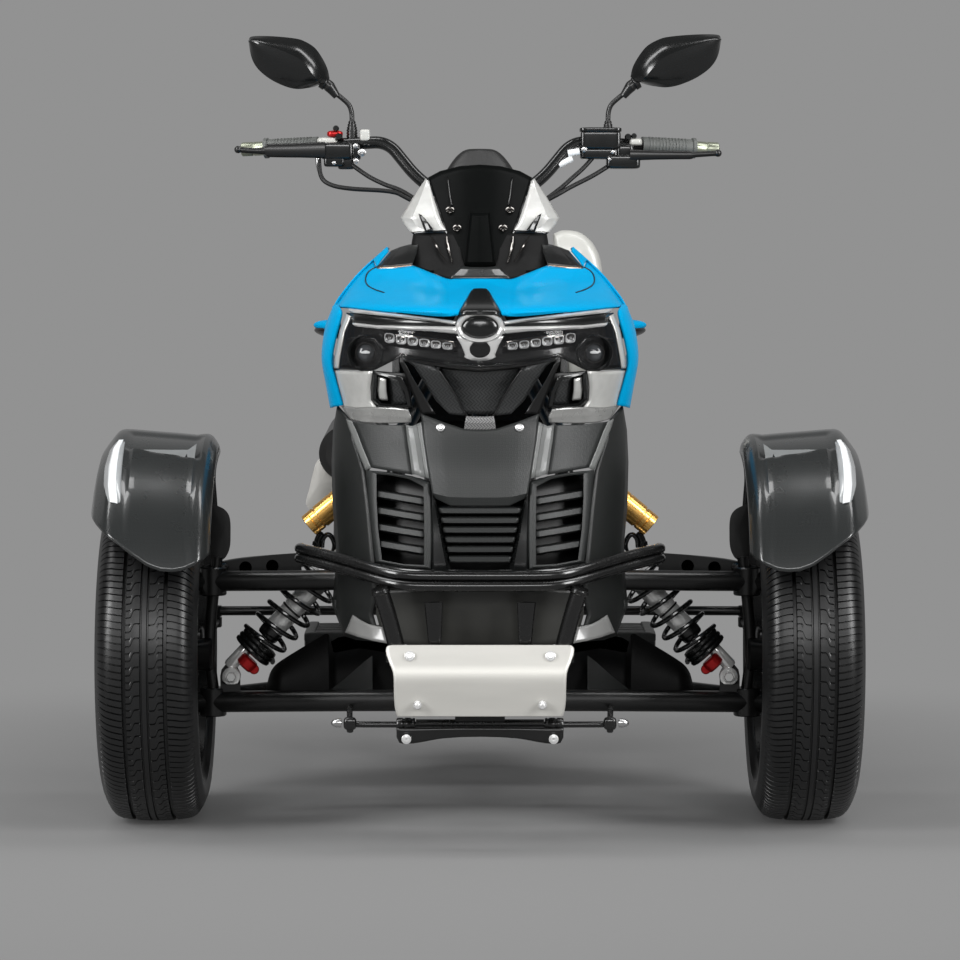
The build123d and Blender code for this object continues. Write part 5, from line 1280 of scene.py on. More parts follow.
# %% Cowl details
WEDGE = [
    [(418.3, 213.5, 16), (421.5, 215, 18)],
    [(421, 221, 17), (428, 222.5, 19)],
    [(425, 231.8, 9), (434.5, 231.2, 10)],
]
panel("cowl_slots", WEDGE, (4, 3), black_gloss, "black_gloss", table=COWL, wall=0.002)
SILL_BAND = [
    [(462, 266, 10), (470, 267, 12), (480, 267.2, 12)],
    [(449, 278, 12), (464, 278.3, 12), (480, 278.4, 12)],
]
panel("dash_sill", SILL_BAND, (4, 5), carbon, "black_gloss", table=COWL)
RIB_LINES = [
    [(430.5, 236, 11), (437, 247, 17), (446, 261.5, 16)],
    [(447, 236.5, 8), (448.5, 248, 6), (452.5, 263, 12)],
]
ribs = []
for marks in RIB_LINES:
    path = smooth_path(seen(marks, COWL), 24)
    ribs += both(swept(path, np.interp(np.linspace(0, 1, 24), (0, 0.5, 1), (0.0012, 0.0026, 0.0010)), 10))
piece("dash_ribs", ribs, dark_chrome, "chassis", "black_gloss")

# %% [markdown]
# The bar and what it carries. The tube follows the same route as the solid one, and the grips are ribbed
# sleeves.

# %% Handlebar
BAR_ROUTE = np.array([
    (0.066, -0.424, 1.060), (0.112, -0.412, 1.092), (0.164, -0.394, 1.156), (0.424, -0.3394, 1.1438)])


def rounded_route(points, bend, steps=10):
    """Path with its corners rounded: each corner becomes a quadratic curve from one cut point to the
    other."""
    points = np.asarray(points, float)
    before, after = unit(points[:-2] - points[1:-1]), unit(points[2:] - points[1:-1])
    t = np.linspace(0, 1, steps)[None, :, None]
    corner = points[1:-1][:, None]
    start, end = corner + bend * before[:, None], corner + bend * after[:, None]
    arcs = (1 - t) ** 2 * start + 2 * t * (1 - t) * corner + t ** 2 * end
    return np.concatenate([points[:1], arcs.reshape(-1, 3), points[-1:]])


def bar_spot(x):
    """Point on the bar's straight end at a distance x from the centre line."""
    (x0, y0, z0), (x1, y1, z1) = BAR_ROUTE[-2:]
    share = (np.abs(x) - x0) / (x1 - x0)
    return np.stack(np.broadcast_arrays(x, y0 + share * (y1 - y0), z0 + share * (z1 - z0)), axis=-1)


half_bar = rounded_route(BAR_ROUTE, 0.026)
tube = np.concatenate([half_bar[::-1] * (-1, 1, 1), half_bar])
piece("bar_tube", swept(tube, 0.011, 24), black_gloss, "steering", "frame_black", ["handlebar"])
grips, weights = [], []
for side in (-1, 1):
    spot = bar_spot(np.array((0.288, 0.384))) * (side, 1, 1)
    length = np.linalg.norm(spot[1] - spot[0])
    along = np.linspace(0.0, length - 0.006, 220)
    ribs = 0.0156 + 0.0006 * np.sign(np.sin(along * 2 * np.pi / 0.006)) * (np.abs(along - 0.045) < 0.036)
    flange = [(length - 0.006, 0.0182), (length, 0.0182), (length, 0.010)]
    profile = np.concatenate([[(0, 0.010)], np.stack([along, ribs], axis=1), flange])
    grips.append(turned(spot[0], spot[1] - spot[0], profile, 28))
    tip = bar_spot(np.array((0.384, 0.426))) * (side, 1, 1)
    reach = np.linalg.norm(tip[1] - tip[0])
    weight = [(0, 0), (0, 0.0125), (reach * 0.45, 0.0125), (reach * 0.5, 0.0112), (reach * 0.55, 0.0125)]
    weight += [(reach - 0.002, 0.0125), (reach, 0.0105), (reach, 0)]
    weights.append(turned(tip[0], tip[1] - tip[0], weight, 32))
grip_grey = finish("grip_grey", (0.10, 0.105, 0.10), 0.5, grain=1200, bump=0.2)
end_weight = finish("end_weight", (0.34, 0.36, 0.28), 0.34, metal=0.8, grain=600, bump=0.04)
piece("grips", grips, grip_grey, "steering", "rubber")
piece("bar_end_weights", weights, end_weight, "steering", "aluminium")

# %% [markdown]
# Lever blades are flattened sweeps with a ball at the tip; the switch block, the brake reservoir and the
# small shells are rounded blocks that fill boxes of the picture.

# %% Levers and housings
LEVER_Y = -0.4095
LEVER_UNIT = 0.001776
KNOB_R = 0.0066


def lever(marks, heights, ball, depth=0.0045):
    """Blade along marks of the picture, its half height given in picture units, ending in a ball."""
    at = at_depth(marks, LEVER_Y)
    count = 60
    path = smooth_path(at, count)
    tall = np.interp(np.linspace(0, 1, count), np.linspace(0, 1, len(heights)), heights) * LEVER_UNIT
    tip = at_depth([ball], LEVER_Y)[0]
    turn = np.linspace(0, np.pi, 12)
    knob = turned(tip, (1, 0, 0), KNOB_R * np.stack([-np.cos(turn), np.sin(turn)], axis=1), 20)
    return [swept(path, depth, 20, tall / depth), knob]


blades = lever([(325, 150), (300, 150.3), (285, 150.5), (268, 150.5), (264, 150.7), (255, 150.8),
    (244, 150.2), (239, 149.7)],
               [8.2, 7.3, 7.0, 6.7, 3.7, 3.1, 2.9, 2.8], (238, 149.6))
blades += lever([(630, 155), (655, 155), (675, 155), (690, 155), (694, 154.6), (705, 154), (716, 153.3)],
                [5.6, 4.7, 4.4, 4.3, 3.0, 2.8, 2.7], (718, 153.2))
piece("lever_blades", blades, black_satin, "steering", "frame_black", crease=50)


def bar_block(box, depth, power=7.0):
    """Rounded block that fills a box of the picture (left, top, right, bottom) between two depths."""
    left, top, right, bottom = box
    middle = sum(depth) / 2
    a, b = at_depth([(left, top), (right, bottom)], middle)
    half = (abs(b[0] - a[0]) / 2, (depth[1] - depth[0]) / 2, abs(b[2] - a[2]) / 2)
    return pillow((a + b) / 2, half, power, 22, 44)


HOUSINGS = (
    ((321, 142.5, 354, 160), (-0.412, -0.362)), ((324, 155, 345, 167), (-0.410, -0.370)),
    ((338, 157, 354, 169.5), (-0.404, -0.372)), ((352, 144, 361, 160), (-0.408, -0.372), 5),
    ((580, 148.5, 618, 159.5), (-0.408, -0.366)), ((606, 155, 640, 169), (-0.412, -0.366)),
    ((616, 144, 634, 160), (-0.406, -0.368), 5), ((572, 145, 583, 155), (-0.404, -0.372), 4))
piece("switch_blocks", [bar_block(*block) for block in HOUSINGS], black_gloss, "steering", "frame_black")
tank = [
    bar_block((580.5, 131, 620.5, 149.5), (-0.410, -0.366), 9),
    bar_block((579.5, 127.5, 621.5, 132.5), (-0.412, -0.364), 6)]
piece("brake_reservoir", tank, black_gloss, "steering", "frame_black")
SHELLS = (
    ((317, 137.5, 338, 145), (-0.396, -0.352), 4), ((629, 138.5, 642, 146), (-0.398, -0.356), 4),
    ((360, 129.5, 370, 141), (-0.398, -0.380), 6))
piece("grip_shells", [bar_block(*block) for block in SHELLS], grey_shell, "steering", "aluminium")
piece("stop_switch", [bar_block((327, 130.5, 343, 137.5), (-0.392, -0.366), 3)], red_anodised, "steering",
    "lamp_red")
dials = [
    turned(at_depth([mark], -0.392)[0], (0, -1, 0), [(-0.004, 0), (-0.004, r), (0.003, r), (0.006, r * 0.7),
    (0.006, 0)], 24)
         for mark, r in (((339, 136.8), 0.0065), ((336, 128.5), 0.0055), ((628, 137), 0.006),
         ((634, 136), 0.005))]
piece("bar_dials", dials, black_gloss, "steering", "frame_black")
fittings = [bolt(at_depth([mark], -0.411)[0], (0, -1, 0), r) for mark, r in (
    ((334, 163), 0.0022), ((362, 152.5), 0.0046), ((355.5, 146), 0.003), ((356, 161), 0.003),
    ((610, 159.5), 0.0022), ((613, 152), 0.0022),
    ((584, 149.5), 0.0032), ((271, 154.5), 0.0016), ((282, 154.5), 0.0016), ((293.5, 154.5), 0.0016))]
fittings.append(swept(at_depth([(317.5, 157), (318, 164), (319.5, 171)], -0.404), 0.0044, 12))
piece("bar_fittings", fittings, steel, "steering", "aluminium")
plugs = [
    swept(at_depth([(568, 153.5), (579.5, 151.5)], -0.409), 0.0062, 12),
    swept(at_depth([(559, 165), (572.5, 158.5)], -0.408), 0.0058, 12)]
piece("wire_connectors", plugs, lamp_white, "steering", "clear")

# %% [markdown]
# The cables are drawn along the same points as the solid ones, each one smooth curve from a control to the
# steering head.

# %% Cables
CABLE_ROUTES = [
    [(-286, 358, 1128), (-281, 342, 1094), (-263, 332, 1079), (-227, 324, 1072), (-158, 318, 1067),
     (-124, 314, 1053), (-18, 300, 996)],
    [(-226, 360, 1114), (-197, 348, 1094), (-169, 336, 1080), (-124, 322, 1060), (-20, 294, 985)],
    [(230, 360, 1114), (199, 346, 1095), (160, 332, 1075), (126, 318, 1056), (18, 300, 1000)],
    [(214, 372, 1144), (186, 352, 1112), (164, 340, 1092), (128, 326, 1062), (20, 296, 985)],
]
CABLE_R = 0.004
for number, route in enumerate(CABLE_ROUTES):
    points = np.array([(x, d - 760, z) for x, d, z in route]) / 1000
    path = smooth_path(points, 30)
    curve = bpy.data.curves.new(f"cable_{number}", "CURVE")
    curve.dimensions, curve.bevel_depth, curve.bevel_resolution, curve.use_fill_caps = "3D", CABLE_R, 5, True
    line = curve.splines.new("NURBS")
    line.points.add(len(path) - 1)
    line.points.foreach_set("co", np.concatenate([path, np.ones((len(path), 1))], axis=1).ravel())
    line.order_u, line.use_endpoint_u, line.resolution_u = 3, True, 4
    curve.materials.append(grip_rubber)
    cable = bpy.data.objects.new(f"cable_{number}", curve)
    bpy.context.scene.collection.objects.link(cable)
    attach(cable, "steering")
    if number == 0:
        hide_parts("cables")

# %% [markdown]
# The mirrors: leaf-shaped shells with a ridge from the outer point to the neck. Two facets meet at the
# ridge, each bulging forwards, and the glass is set in the side that faces the rider.

# %% Mirrors
TOP_EDGE = [
    (248.4, 41), (252, 36.4), (272, 36.2), (295, 38.4), (305, 41.5), (315, 48), (322.5, 58.5),
    (327.5, 69), (329.5, 78.5)]
RIDGE = [
    (248.4, 41), (260, 43.5), (279, 50), (295, 57), (305, 63.8), (312.5, 73.8), (317, 79.5), (320, 82.6),
    (324, 83.5)]
FOOT_EDGE = [
    (248.4, 41), (251.5, 57.5), (258, 69), (270, 79), (285, 86.3), (297, 89), (307.5, 88), (315, 86.4),
    (322, 83.5)]
MIRROR_Y = -0.384


MIRROR_WIDER, MIRROR_HIGHER = 1.12, 0.003


def widened(part):
    """Mirror part drawn out from its inner end, and raised a little."""
    inner = at_depth([(329.5, 80)], MIRROR_Y)[0][0]
    points, faces = part
    x = inner + (points[:, 0] - inner) * MIRROR_WIDER
    return np.stack([x, points[:, 1], points[:, 2] + MIRROR_HIGHER], axis=-1), faces


def mirror_side(side):
    """Front facets and glass of one mirror; the left one is the image of the right, a little wider."""
    top, ridge, foot = (smooth_path(at_depth(edge, MIRROR_Y), 40) for edge in (TOP_EDGE, RIDGE, FOOT_EDGE))
    t = np.linspace(0, 1, 9)[:, None, None]
    swell = np.sin(np.pi * np.linspace(0.06, 0.94, 40)) ** 0.6
    ridge = ridge + np.stack([0 * swell, -0.034 * swell, 0 * swell], axis=-1)
    bulge = np.array((0, -1, 0)) * (0.007 * np.sin(np.pi * t) * swell[None, :, None])
    front = [lattice(a * (1 - t) + b * t + bulge) for a, b in ((top, ridge), (ridge, foot))]
    glass = lattice(top * (1 - t) + foot * t + np.array((0, 0.002, 0)))
    if side > 0:
        front, glass = [flipped(widened(part)) for part in front], flipped(widened(glass))
    return front, glass


for side, word in ((1, "left"), (-1, "right")):
    front, glass = mirror_side(side)
    piece(f"mirror_shell_{word}", front + [glass], black_gloss, "steering", "black_gloss",
        [f"mirror_{word}"], crease=28)
    inner = (glass[0] - glass[0].mean(axis=0)) * (0.93, 1, 0.90) + glass[0].mean(axis=0) + (0, 0.0012, 0)
    piece(f"mirror_glass_{word}", [(inner, glass[1])], chrome, "steering", "aluminium", wall=0.0006)
    face = np.array((-side, 1, 1))
    collar = at_depth([(321, 81.5), (327, 84.5), (330.5, 88), (337, 96.5)], MIRROR_Y + 0.004) * face
    girth = np.interp(np.linspace(0, 1, 24), (0, 0.25, 0.3, 0.6, 1), (0.011, 0.0125, 0.010, 0.0105, 0.0065))
    neck = [swept(smooth_path(collar, 24), girth, 20)]
    stem = at_depth([(335, 93), (341, 97.5), (348.5, 104.5), (351.5, 112), (352, 121), (352, 132)],
        MIRROR_Y + 0.006) * face
    neck.append(swept(smooth_path(stem, 40), 0.0044, 18))
    foot = at_depth([(352, 141)], MIRROR_Y + 0.006)[0] * face
    z = np.linspace(0, 0.036, 73)
    boot = np.interp(z, (0, 0.004, 0.020, 0.030, 0.036), (0.0098, 0.0102, 0.0098, 0.0075, 0.0058))
    boot = boot - 0.0009 * (np.sin(z * 2 * np.pi / 0.005) > 0.3)
    neck.append(turned(foot, (0, 0, 1), np.stack([z, boot], axis=1), 24))
    piece(f"mirror_neck_{word}", neck, black_satin, "steering", "frame_black", crease=45)

# %% [markdown]
# Under the nose stands a bumper of two slim tubes lying on each other, on broad uprights. Courses are drawn
# in the front view, each mark with its depth behind the front axle in millimetres.

# %% Bumper
def spots(marks):
    """Marks (across, down, depth behind the front axle in millimetres) as points on their sight lines."""
    marks = np.asarray(marks, float)
    return at_depth(marks[..., :2], AXLE_Y + marks[..., 2] / 1000)


def spanned(marks):
    """Points of one half, followed by their mirror images back out on the other side."""
    half = spots(marks)
    return np.concatenate([half, half[-2::-1] * (-1, 1, 1)])


def plate(outline, depth, thick=6.0, rise=0.0, smooth=0):
    """Sheet with a closed outline in the front view: rings that shrink to the middle, domed by rise * (1 -
    k * k)."""
    marks = np.asarray(outline, float)
    if smooth:
        marks = smooth_path(np.concatenate([marks, marks[:1]]), smooth)[:-1]
    middle = marks.mean(axis=0)
    rings = [np.column_stack([marks, np.full(len(marks), depth + thick)])]
    for k in (1.0, 0.97, 0.85, 0.6, 0.3, 0.0):
        deep = np.full(len(marks), depth - rise * (1 - k * k))
        rings.append(np.column_stack([middle + (marks - middle) * k, deep]))
    return lattice(spots(np.stack(rings)), wrap=True)


BAR_UPPER = [
    (301, 547.8, -150), (299.5, 548.3, -190), (303.5, 549.2, -216), (320, 553, -250), (338, 557.8, -280),
    (371, 567.4, -340), (394, 573.6, -368), (414, 575.8, -376), (446, 576.2, -377), (480, 576.3, -377)]
BAR_LOWER = [(a, b + 10.2, c - 4) for a, b, c in BAR_UPPER]
UPRIGHT = [(379.5, 588, -374), (387.5, 613, -366), (397.5, 650, -352)]
STRUT = [(433.5, 602.3, -358), (435, 648, -352)]
CROSS = [(386, 656, -354), (480, 656, -354)]
bars = [swept(smooth_path(spanned(course), 200), 0.0083, 14) for course in (BAR_UPPER, BAR_LOWER)]
bars += both(swept(spots([(301, 547.8, -152), (300.6, 558, -156)]), 0.0080, 12))
bars += both(swept(smooth_path(spots(UPRIGHT), 16), 0.0136, 20)) + [swept(spanned(CROSS), 0.010, 12)]
bars += both(swept(spots(STRUT), (0.0152, 0.0096), 20, flat=0.35))
POST_COLLAR = [(-0.004, 0.0136), (-0.002, 0.0155), (0.002, 0.0155), (0.004, 0.0136)]
bars += both(turned(spots([(380.8, 592, -373)])[0], (0.17, 0.02, -0.6), POST_COLLAR, 20))
piece("bumper_bars", bars, tube_black, "chassis", "frame_black", ["bumper"], crease=40)

# %% [markdown]
# The bright skid plate is one sheet across, bent over softly at half height. Its edge is a table of marks
# from the top down, and every row runs level from that edge to the centre line.

# %% Skid plate
SKID_EDGE = np.array((
    (645.0, 391.5, -370), (645.6, 388.6, -370.5), (647.2, 386.6, -371.7), (650.5, 385.9, -374.2),
    (656, 387.0, -378.3), (662, 389.2, -382.8), (667, 391.2, -386.4), (672, 392.8, -389),
    (677, 393.5, -390.2), (682, 393.7, -390.2), (688, 393.8, -389.2), (697, 394.0, -387.2),
    (706, 394.7, -385.2), (713, 396.0, -383.6), (716.6, 397.4, -382.8)))
spread = np.linspace(0, 1, 25)[None, :]
down, left, deep = (smooth_path(SKID_EDGE, 57)[:, k, None] for k in range(3))
skid = np.stack([left + (CENTRE_LINE - left) * spread, down + 0 * spread, deep + 0 * spread], axis=-1)
skid = about_face(lattice(spots(skid)))
pair("skid_sheet", skid, plate_aluminium, "aluminium", ["skid_plate"], crease=50, wall=0.004)
STUD = [(0, 0.0066), (0.007, 0.0066), (0.008, 0.0044), (0.014, 0.0042), (0.0155, 0.003), (0.0155, 0)]
studs = both(bolt(spots([(409.6, 656, -382)])[0], (0, -1, 0.25), 0.0055))
studs += both(bolt(spots([(417.5, 705, -382)])[0], (0, -1, -0.2), 0.0052))
studs += both(turned(spots([(417.5, 704.2, -386)])[0], (0, -1, -0.2), STUD, 18))
studs += both(bolt(spots([(406.3, 739.3, -356)])[0], (0, -1, 0), 0.0052))
piece("skid_bolts", studs, alloy, "chassis", "aluminium", crease=30)

# %% [markdown]
# The anti-roll bar lies below in its clamps, over a bracket whose foot is a curve.

# %% Anti-roll bar
ROLL_ROD = [
    (349.5, 707, -60), (350, 721.5, -290), (351, 724, -322), (357, 724.4, -332), (397, 724.6, -334),
    (440, 724.8, -334), (480, 724.8, -334)]
roll = [swept(smooth_path(spanned(ROLL_ROD), 120), 0.0050, 14)]
roll += both(pillow(spots([(350, 723.5, -334)])[0], (0.0105, 0.009, 0.0105), 3.2))
roll += both(pillow(spots([(350, 730, -334)])[0], (0.0055, 0.0055, 0.0045), 3))
CLAMP = [
    (0, 0), (0, 0.0095), (0.002, 0.011), (0.010, 0.011), (0.011, 0.0098), (0.013, 0.0098),
    (0.014, 0.0112), (0.022, 0.0112), (0.024, 0.0098), (0.026, 0.0098), (0.027, 0.011), (0.030, 0.010),
    (0.030, 0)]
roll += both(turned(spots([(396.5, 724.6, -334)])[0], (1, 0, 0), CLAMP, 24))
roll += both(swept(spots([(416, 723.5, -336), (480, 723.5, -336)]), 0.0068, 14))
BRACKET_TOP = 728.5
columns = np.linspace(396.5, CENTRE_LINE, 30)
foot = np.interp(columns, (396.5, 398.5, 404, 414, 420, 441, 460, 480),
    (737, 742.6, 744, 743.4, 742.4, 738.6, 737.2, 736.8))
t = np.linspace(0, 1, 6)[:, None]
bracket = np.stack(np.broadcast_arrays(columns, foot * t + BRACKET_TOP * (1 - t), -349.0 + 3 * t), axis=-1)
bracket = about_face(lattice(spots(bracket)))
piece("roll_bar", roll, tube_black, "chassis", "frame_black", ["antiroll_bar"], crease=40)
pair("roll_bracket", bracket, black_satin, "frame_black", crease=40, wall=0.006)
ROLL_END = [
    (0, 0), (0, 0.0070), (0.006, 0.0074), (0.011, 0.0060), (0.014, 0.0048), (0.016, 0.0026), (0.017, 0)]
pair("roll_ends", turned(spots([(341.5, 723, -334)])[0], (-1, 0, 0), ROLL_END, 20), steel, "aluminium",
    crease=40)

# %% [markdown]
# Between the wishbones of each front corner leans the coil-over: a bright body, a spring of five turns and
# a bit, a stack of black collars, a red knob and a bright eye. All of it is laid out along the damper's own
# line, with a place along it and one aside.

# %% Coil-overs
EYE_LOW, EYE_HIGH = spots([(231.7, 675.8, 10), (348, 553, 10)])
LEAN = unit(EYE_HIGH - EYE_LOW)
ASIDE = np.array((-LEAN[2], 0.0, LEAN[0]))


def on_shock(along, aside=0.0, ahead=0.0):
    """Place on the damper in millimetres: along it from the eye, aside to its upper left, ahead to the
    viewer."""
    return EYE_LOW + (LEAN * along + ASIDE * aside + np.array((0, -1, 0)) * ahead) / 1000


def stack(start, steps):
    """Turned profile on the damper's line from pairs of (along, radius) in millimetres."""
    return turned(start, LEAN, np.array(steps, float) / 1000, 36)


BODY = [
    (96, 0), (96, 17), (98, 18.6), (152, 18.6), (153, 17.4), (156, 17.4), (157, 19), (236, 19), (240, 18),
    (286, 16), (286, 0)]
SIDE_CAN = [(0, 0), (0, 9.5), (4, 11.5), (54, 11.5), (58, 9), (58, 0)]
EYE_RING = [
    (-0.024, 0.009), (-0.024, 0.0150), (-0.002, 0.0158), (0, 0.0148), (0.0005, 0.0105), (-0.002, 0.0100),
    (-0.002, 0)]
shock = [
    stack(on_shock(0, 3), BODY), stack(on_shock(0, 3), [(58, 8), (96, 8)]),
    stack(on_shock(8, 14), SIDE_CAN)]
shock += [turned(on_shock(0, 0, 13), (0, -1, 0), EYE_RING, 32)]
pair("shock_bodies", merged(shock), bright_trim, "aluminium", ["damper_left", "damper_right"], crease=35)
COLLARS = [
    (52, 10), (52, 33), (53.5, 35.5), (57, 36.5), (60, 35.5), (61, 33), (62, 35.5), (65, 36.8),
    (68.5, 35.5), (69.5, 33), (70.5, 34.5), (73, 35.5), (77, 34), (79, 28), (79, 9)]
collars = [stack(on_shock(0, 4), COLLARS)]
collars += [stack(on_shock(0, 3), [(88, 7), (88, 16.5), (91, 18.5), (98, 19.5), (107, 19.8), (108, 18)])]
collars += [stack(on_shock(0, 3), [(150, 18), (151, 19.6), (153, 19.6), (154, 18)])]
COIL_START, COIL_PITCH, COIL_R, COIL_TURNS = 78.7, 28.8, 37.5, 5.2
turns = np.linspace(-np.pi, 2 * np.pi * COIL_TURNS, 300)[:, None]
along = COIL_START + COIL_PITCH * turns / (2 * np.pi)
collars += [swept(on_shock(along, 3 + COIL_R * np.cos(turns), COIL_R * np.sin(turns)), 0.0041, 10)]
pair("shock_springs", merged(collars), black_gloss, "black_gloss", ["spring_left", "spring_right"],
    crease=30)
KNOB = [(0, 0), (0, 0.0125), (0.003, 0.0165), (0.017, 0.0165), (0.020, 0.013), (0.020, 0)]
BUTTON = [(-0.012, 0.008), (0.004, 0.0085), (0.0055, 0.007), (0.0055, 0.004), (0.0045, 0)]
EYE_BOLT = [(-0.004, 0), (-0.004, 0.0088), (0.005, 0.0088), (0.0065, 0.0074), (0.0065, 0)]
knob = [
    turned(on_shock(26, -4, 14), LEAN, KNOB, 26), turned(on_shock(36, -19, 16), (0.2, -1, 0), BUTTON, 20)]
pair("shock_knobs", merged(knob), red_anodised, "lamp_red", crease=35)
pair("shock_eye_bolts", turned(on_shock(0, 0, 16), (0, -1, 0), EYE_BOLT, 6), bright_trim, "aluminium",
    crease=25)

# %% [markdown]
# The gold reservoir lies above the damper's upper end, a grooved can on its own line, with two hoses.

# %% Reservoirs
RES_LOW = spots([(308.8, 526, 12)])[0]
RES_WAY = unit(np.array((0.768, 0.0, 0.64)))
CAN = [
    (0, 0), (0, 18.8), (0.8, 20.0), (11, 20.2), (12, 19.2), (13, 20.2), (21.5, 20.2), (22.3, 18.4),
    (24.6, 18.4), (25.4, 20.8), (58, 20.8), (58.8, 19.8), (60.2, 19.8), (61, 20.8), (122, 20.8),
    (126, 17), (126, 0)]
can = turned(RES_LOW, RES_WAY, np.array(CAN) / 1000, 40)
pair("reservoirs", can, gold_anodised, "gold", ["reservoir_left", "reservoir_right"], crease=30)
hoses = [swept(smooth_path(spots([(316.5, 548, 30), (317.5, 540, 26), (321, 533, 20)]), 14), 0.0055, 12)]
LONG_HOSE = [
    (322, 547, 34), (323, 539, 30), (327.5, 534.5, 28), (332, 537.5, 28), (334.5, 545, 30), (333, 553, 40)]
NUT = [(0, 0), (0, 0.0075), (0.006, 0.0075), (0.007, 0.006), (0.007, 0)]
hoses += [swept(smooth_path(spots(LONG_HOSE), 30), 0.0042, 12)]
hoses += [turned(spots([(316, 545.5, 28)])[0], (0.15, 0, 1), NUT, 6)]
pair("reservoir_hoses", merged(hoses), black_gloss, "black_gloss", crease=35)

# %% [markdown]
# Each wishbone is a front tube and a rear one that meet in the housing of a ball joint. The upper one carries
# a plate with two holes, drawn as dead-black discs of painted shade, and the lower one the fork of the
# damper.

# %% Wishbones
BALL_HOUSING = [(0, 0), (0, 0.021), (0.002, 0.023), (0.046, 0.023), (0.048, 0.021), (0.048, 0)]
HOUSING_FOOT = (0, 0, -0.024)
ARM_UP = [(199, 581, 0), (232, 581, -10), (285, 580.6, -26), (338, 580, -44), (352, 580, -50)]
ARM_LOW = [(199, 702, 0), (232, 701.5, -10), (290, 701, -30), (345, 700.6, -50), (398, 700.4, -66)]
up_rear = smooth_path(spots([(203, 573, 6), (240, 565, 60), (300, 560, 128), (340, 558, 134)]), 24)
low_rear = smooth_path(spots([(203, 697, 6), (250, 692, 60), (320, 684, 140), (395, 680, 148)]), 24)
arms = [swept(smooth_path(spots(ARM_UP), 24), 0.0172, 20), swept(up_rear, 0.0125, 16)]
arms += [turned(spots([(213, 581, 0)])[0] + HOUSING_FOOT, (0, 0, 1), BALL_HOUSING, 28)]
HOLED = [(222, 573), (222, 562.5), (246, 558.5), (272, 554.8), (300, 552.8), (302, 573)]
arms += [plate(HOLED, 30, 5)]
pair("upper_arms", merged(arms), black_satin, "frame_black", ["upper_arm_left", "upper_arm_right"],
    crease=38)
# Painted shade: the two holes of the plate are dead-black discs in a rim.
HOLE_RIM = [
    (0.0, 0.0105), (0.0035, 0.0105), (0.0042, 0.0090), (0.0035, 0.0076), (0.0012, 0.0072), (0.0012, 0)]
rims = [turned(spot, (0, -1, 0), HOLE_RIM, 26) for spot in spots([(245.6, 567.4, 31), (272.4, 565.8, 31)])]
pair("arm_hole_shadows", merged(rims), painted_shade_black, "frame_black", crease=40)
lows = [swept(smooth_path(spots(ARM_LOW), 24), 0.0182, 20), swept(low_rear, 0.014, 16)]
lows += [turned(spots([(213, 701.5, 0)])[0] + HOUSING_FOOT, (0, 0, 1), BALL_HOUSING, 28)]
CLEVIS = [
    (220.5, 692), (220.2, 676), (221.5, 669.5), (225.5, 664.5), (231.5, 662.6), (236.5, 665),
    (239.6, 671), (240.3, 678), (240.5, 692)]
CLEVIS_FRONT = [(220.5, 694), (220.4, 683), (226, 684.5), (235, 684.5), (240.3, 683), (240.5, 694)]
lows += [plate(CLEVIS, 16, 8), plate(CLEVIS_FRONT, -14, 8)]
pair("lower_arms", merged(lows), black_satin, "frame_black", ["lower_arm_left", "lower_arm_right"],
    crease=38)

# %% [markdown]
# A splash shield stands on each lower arm: rows between the arm's line and the shield's top edge, bowed
# towards the viewer and rolled back at the outer end. A dark web stands against it. Behind them a dead-black
# plate closes the corner as painted shade, for the shadow between the shield and the skid plate.

# %% Splash shields
ARM_LINE = 692
SHIELD = np.array((
    (266, 693), (266.7, 687), (268.2, 679), (270.5, 672), (274.5, 666), (280.5, 661), (292, 653.6),
    (308, 644), (319, 637.6), (325.5, 633.8), (328.6, 634.4), (330.4, 638), (331.2, 643), (332.6, 648),
    (334.4, 652.4), (346, 650.6), (359, 648.6), (372, 650.2), (385, 652.4), (394, 656)))
rise = smooth_path(SHIELD, 96)
share = np.linspace(0, 1, 15)[:, None]
roll_in = np.clip((rise[:, 0] - 266) / 16, 0, 1)
bow = -20 + 46 * (1 - roll_in) ** 2 + 18 * np.clip((rise[:, 0] - 329) / 6, 0, 1)
shield = np.stack(np.broadcast_arrays(rise[:, 0], ARM_LINE + (rise[:, 1] - ARM_LINE) * share,
    bow + 34 * share ** 3), axis=-1)
web = np.array([
    [(331, 689.5, -27), (352, 689.8, -27), (372.5, 690, -27)],
    [(345, 678.5, -12), (358, 676, -12), (372.5, 673, -12)],
    [(365, 661, 4), (369, 658, 4), (372.5, 655.5, 4)],
])
pair("arm_shields", lattice(spots(shield)), shade_black, "frame_black", crease=40)
# Painted shade: a dead-black plate behind the shield and the skid plate, for the shadow in that corner.
belly = plate([(322, 668), (327, 644), (338, 637.5), (347, 636), (392, 643), (396, 668)], 120, 10)
pair("belly_painted_shade", belly, painted_shade_black, "frame_black", crease=40)
pair("arm_webs", lattice(spots(web)), black_grained, "frame_black", crease=40)

# %% [markdown]
# The upright that steers each wheel: a slim pillar between the two ball joints, the hub, the brake caliper
# behind it, the arm for the tie rod, and the curved stay that carries the mudguard. The footboards are
# ribbed plates.

# %% Uprights and footboards
PILLAR = [(0.443, AXLE_Y, 0.182), (0.450, AXLE_Y, 0.215), (0.456, AXLE_Y, 0.262), (0.457, AXLE_Y, 0.300),
          (0.454, AXLE_Y, 0.350), (0.449, AXLE_Y, 0.400), (0.444, AXLE_Y, 0.446)]
STEER_ARM = [(0.455, -0.758, 0.326), (0.458, -0.720, 0.327), (0.457, -0.690, 0.328), (0.456, -0.670, 0.328)]
STAY = [
    (211.5, 503), (217, 505.5), (224, 509), (228.6, 514.5), (230.4, 522), (230.6, 534), (230.2, 545),
    (228, 553), (223, 559.5), (211.5, 563)]
HUB = [(0, 0), (0, 0.026), (0.004, 0.030), (0.020, 0.026), (0.030, 0.024), (0.030, 0)]
PIN = [
    (0, 0), (0, 0.012), (0.002, 0.0135), (0.017, 0.0135), (0.018, 0.006), (0.038, 0.006), (0.040, 0.004),
    (0.040, 0)]
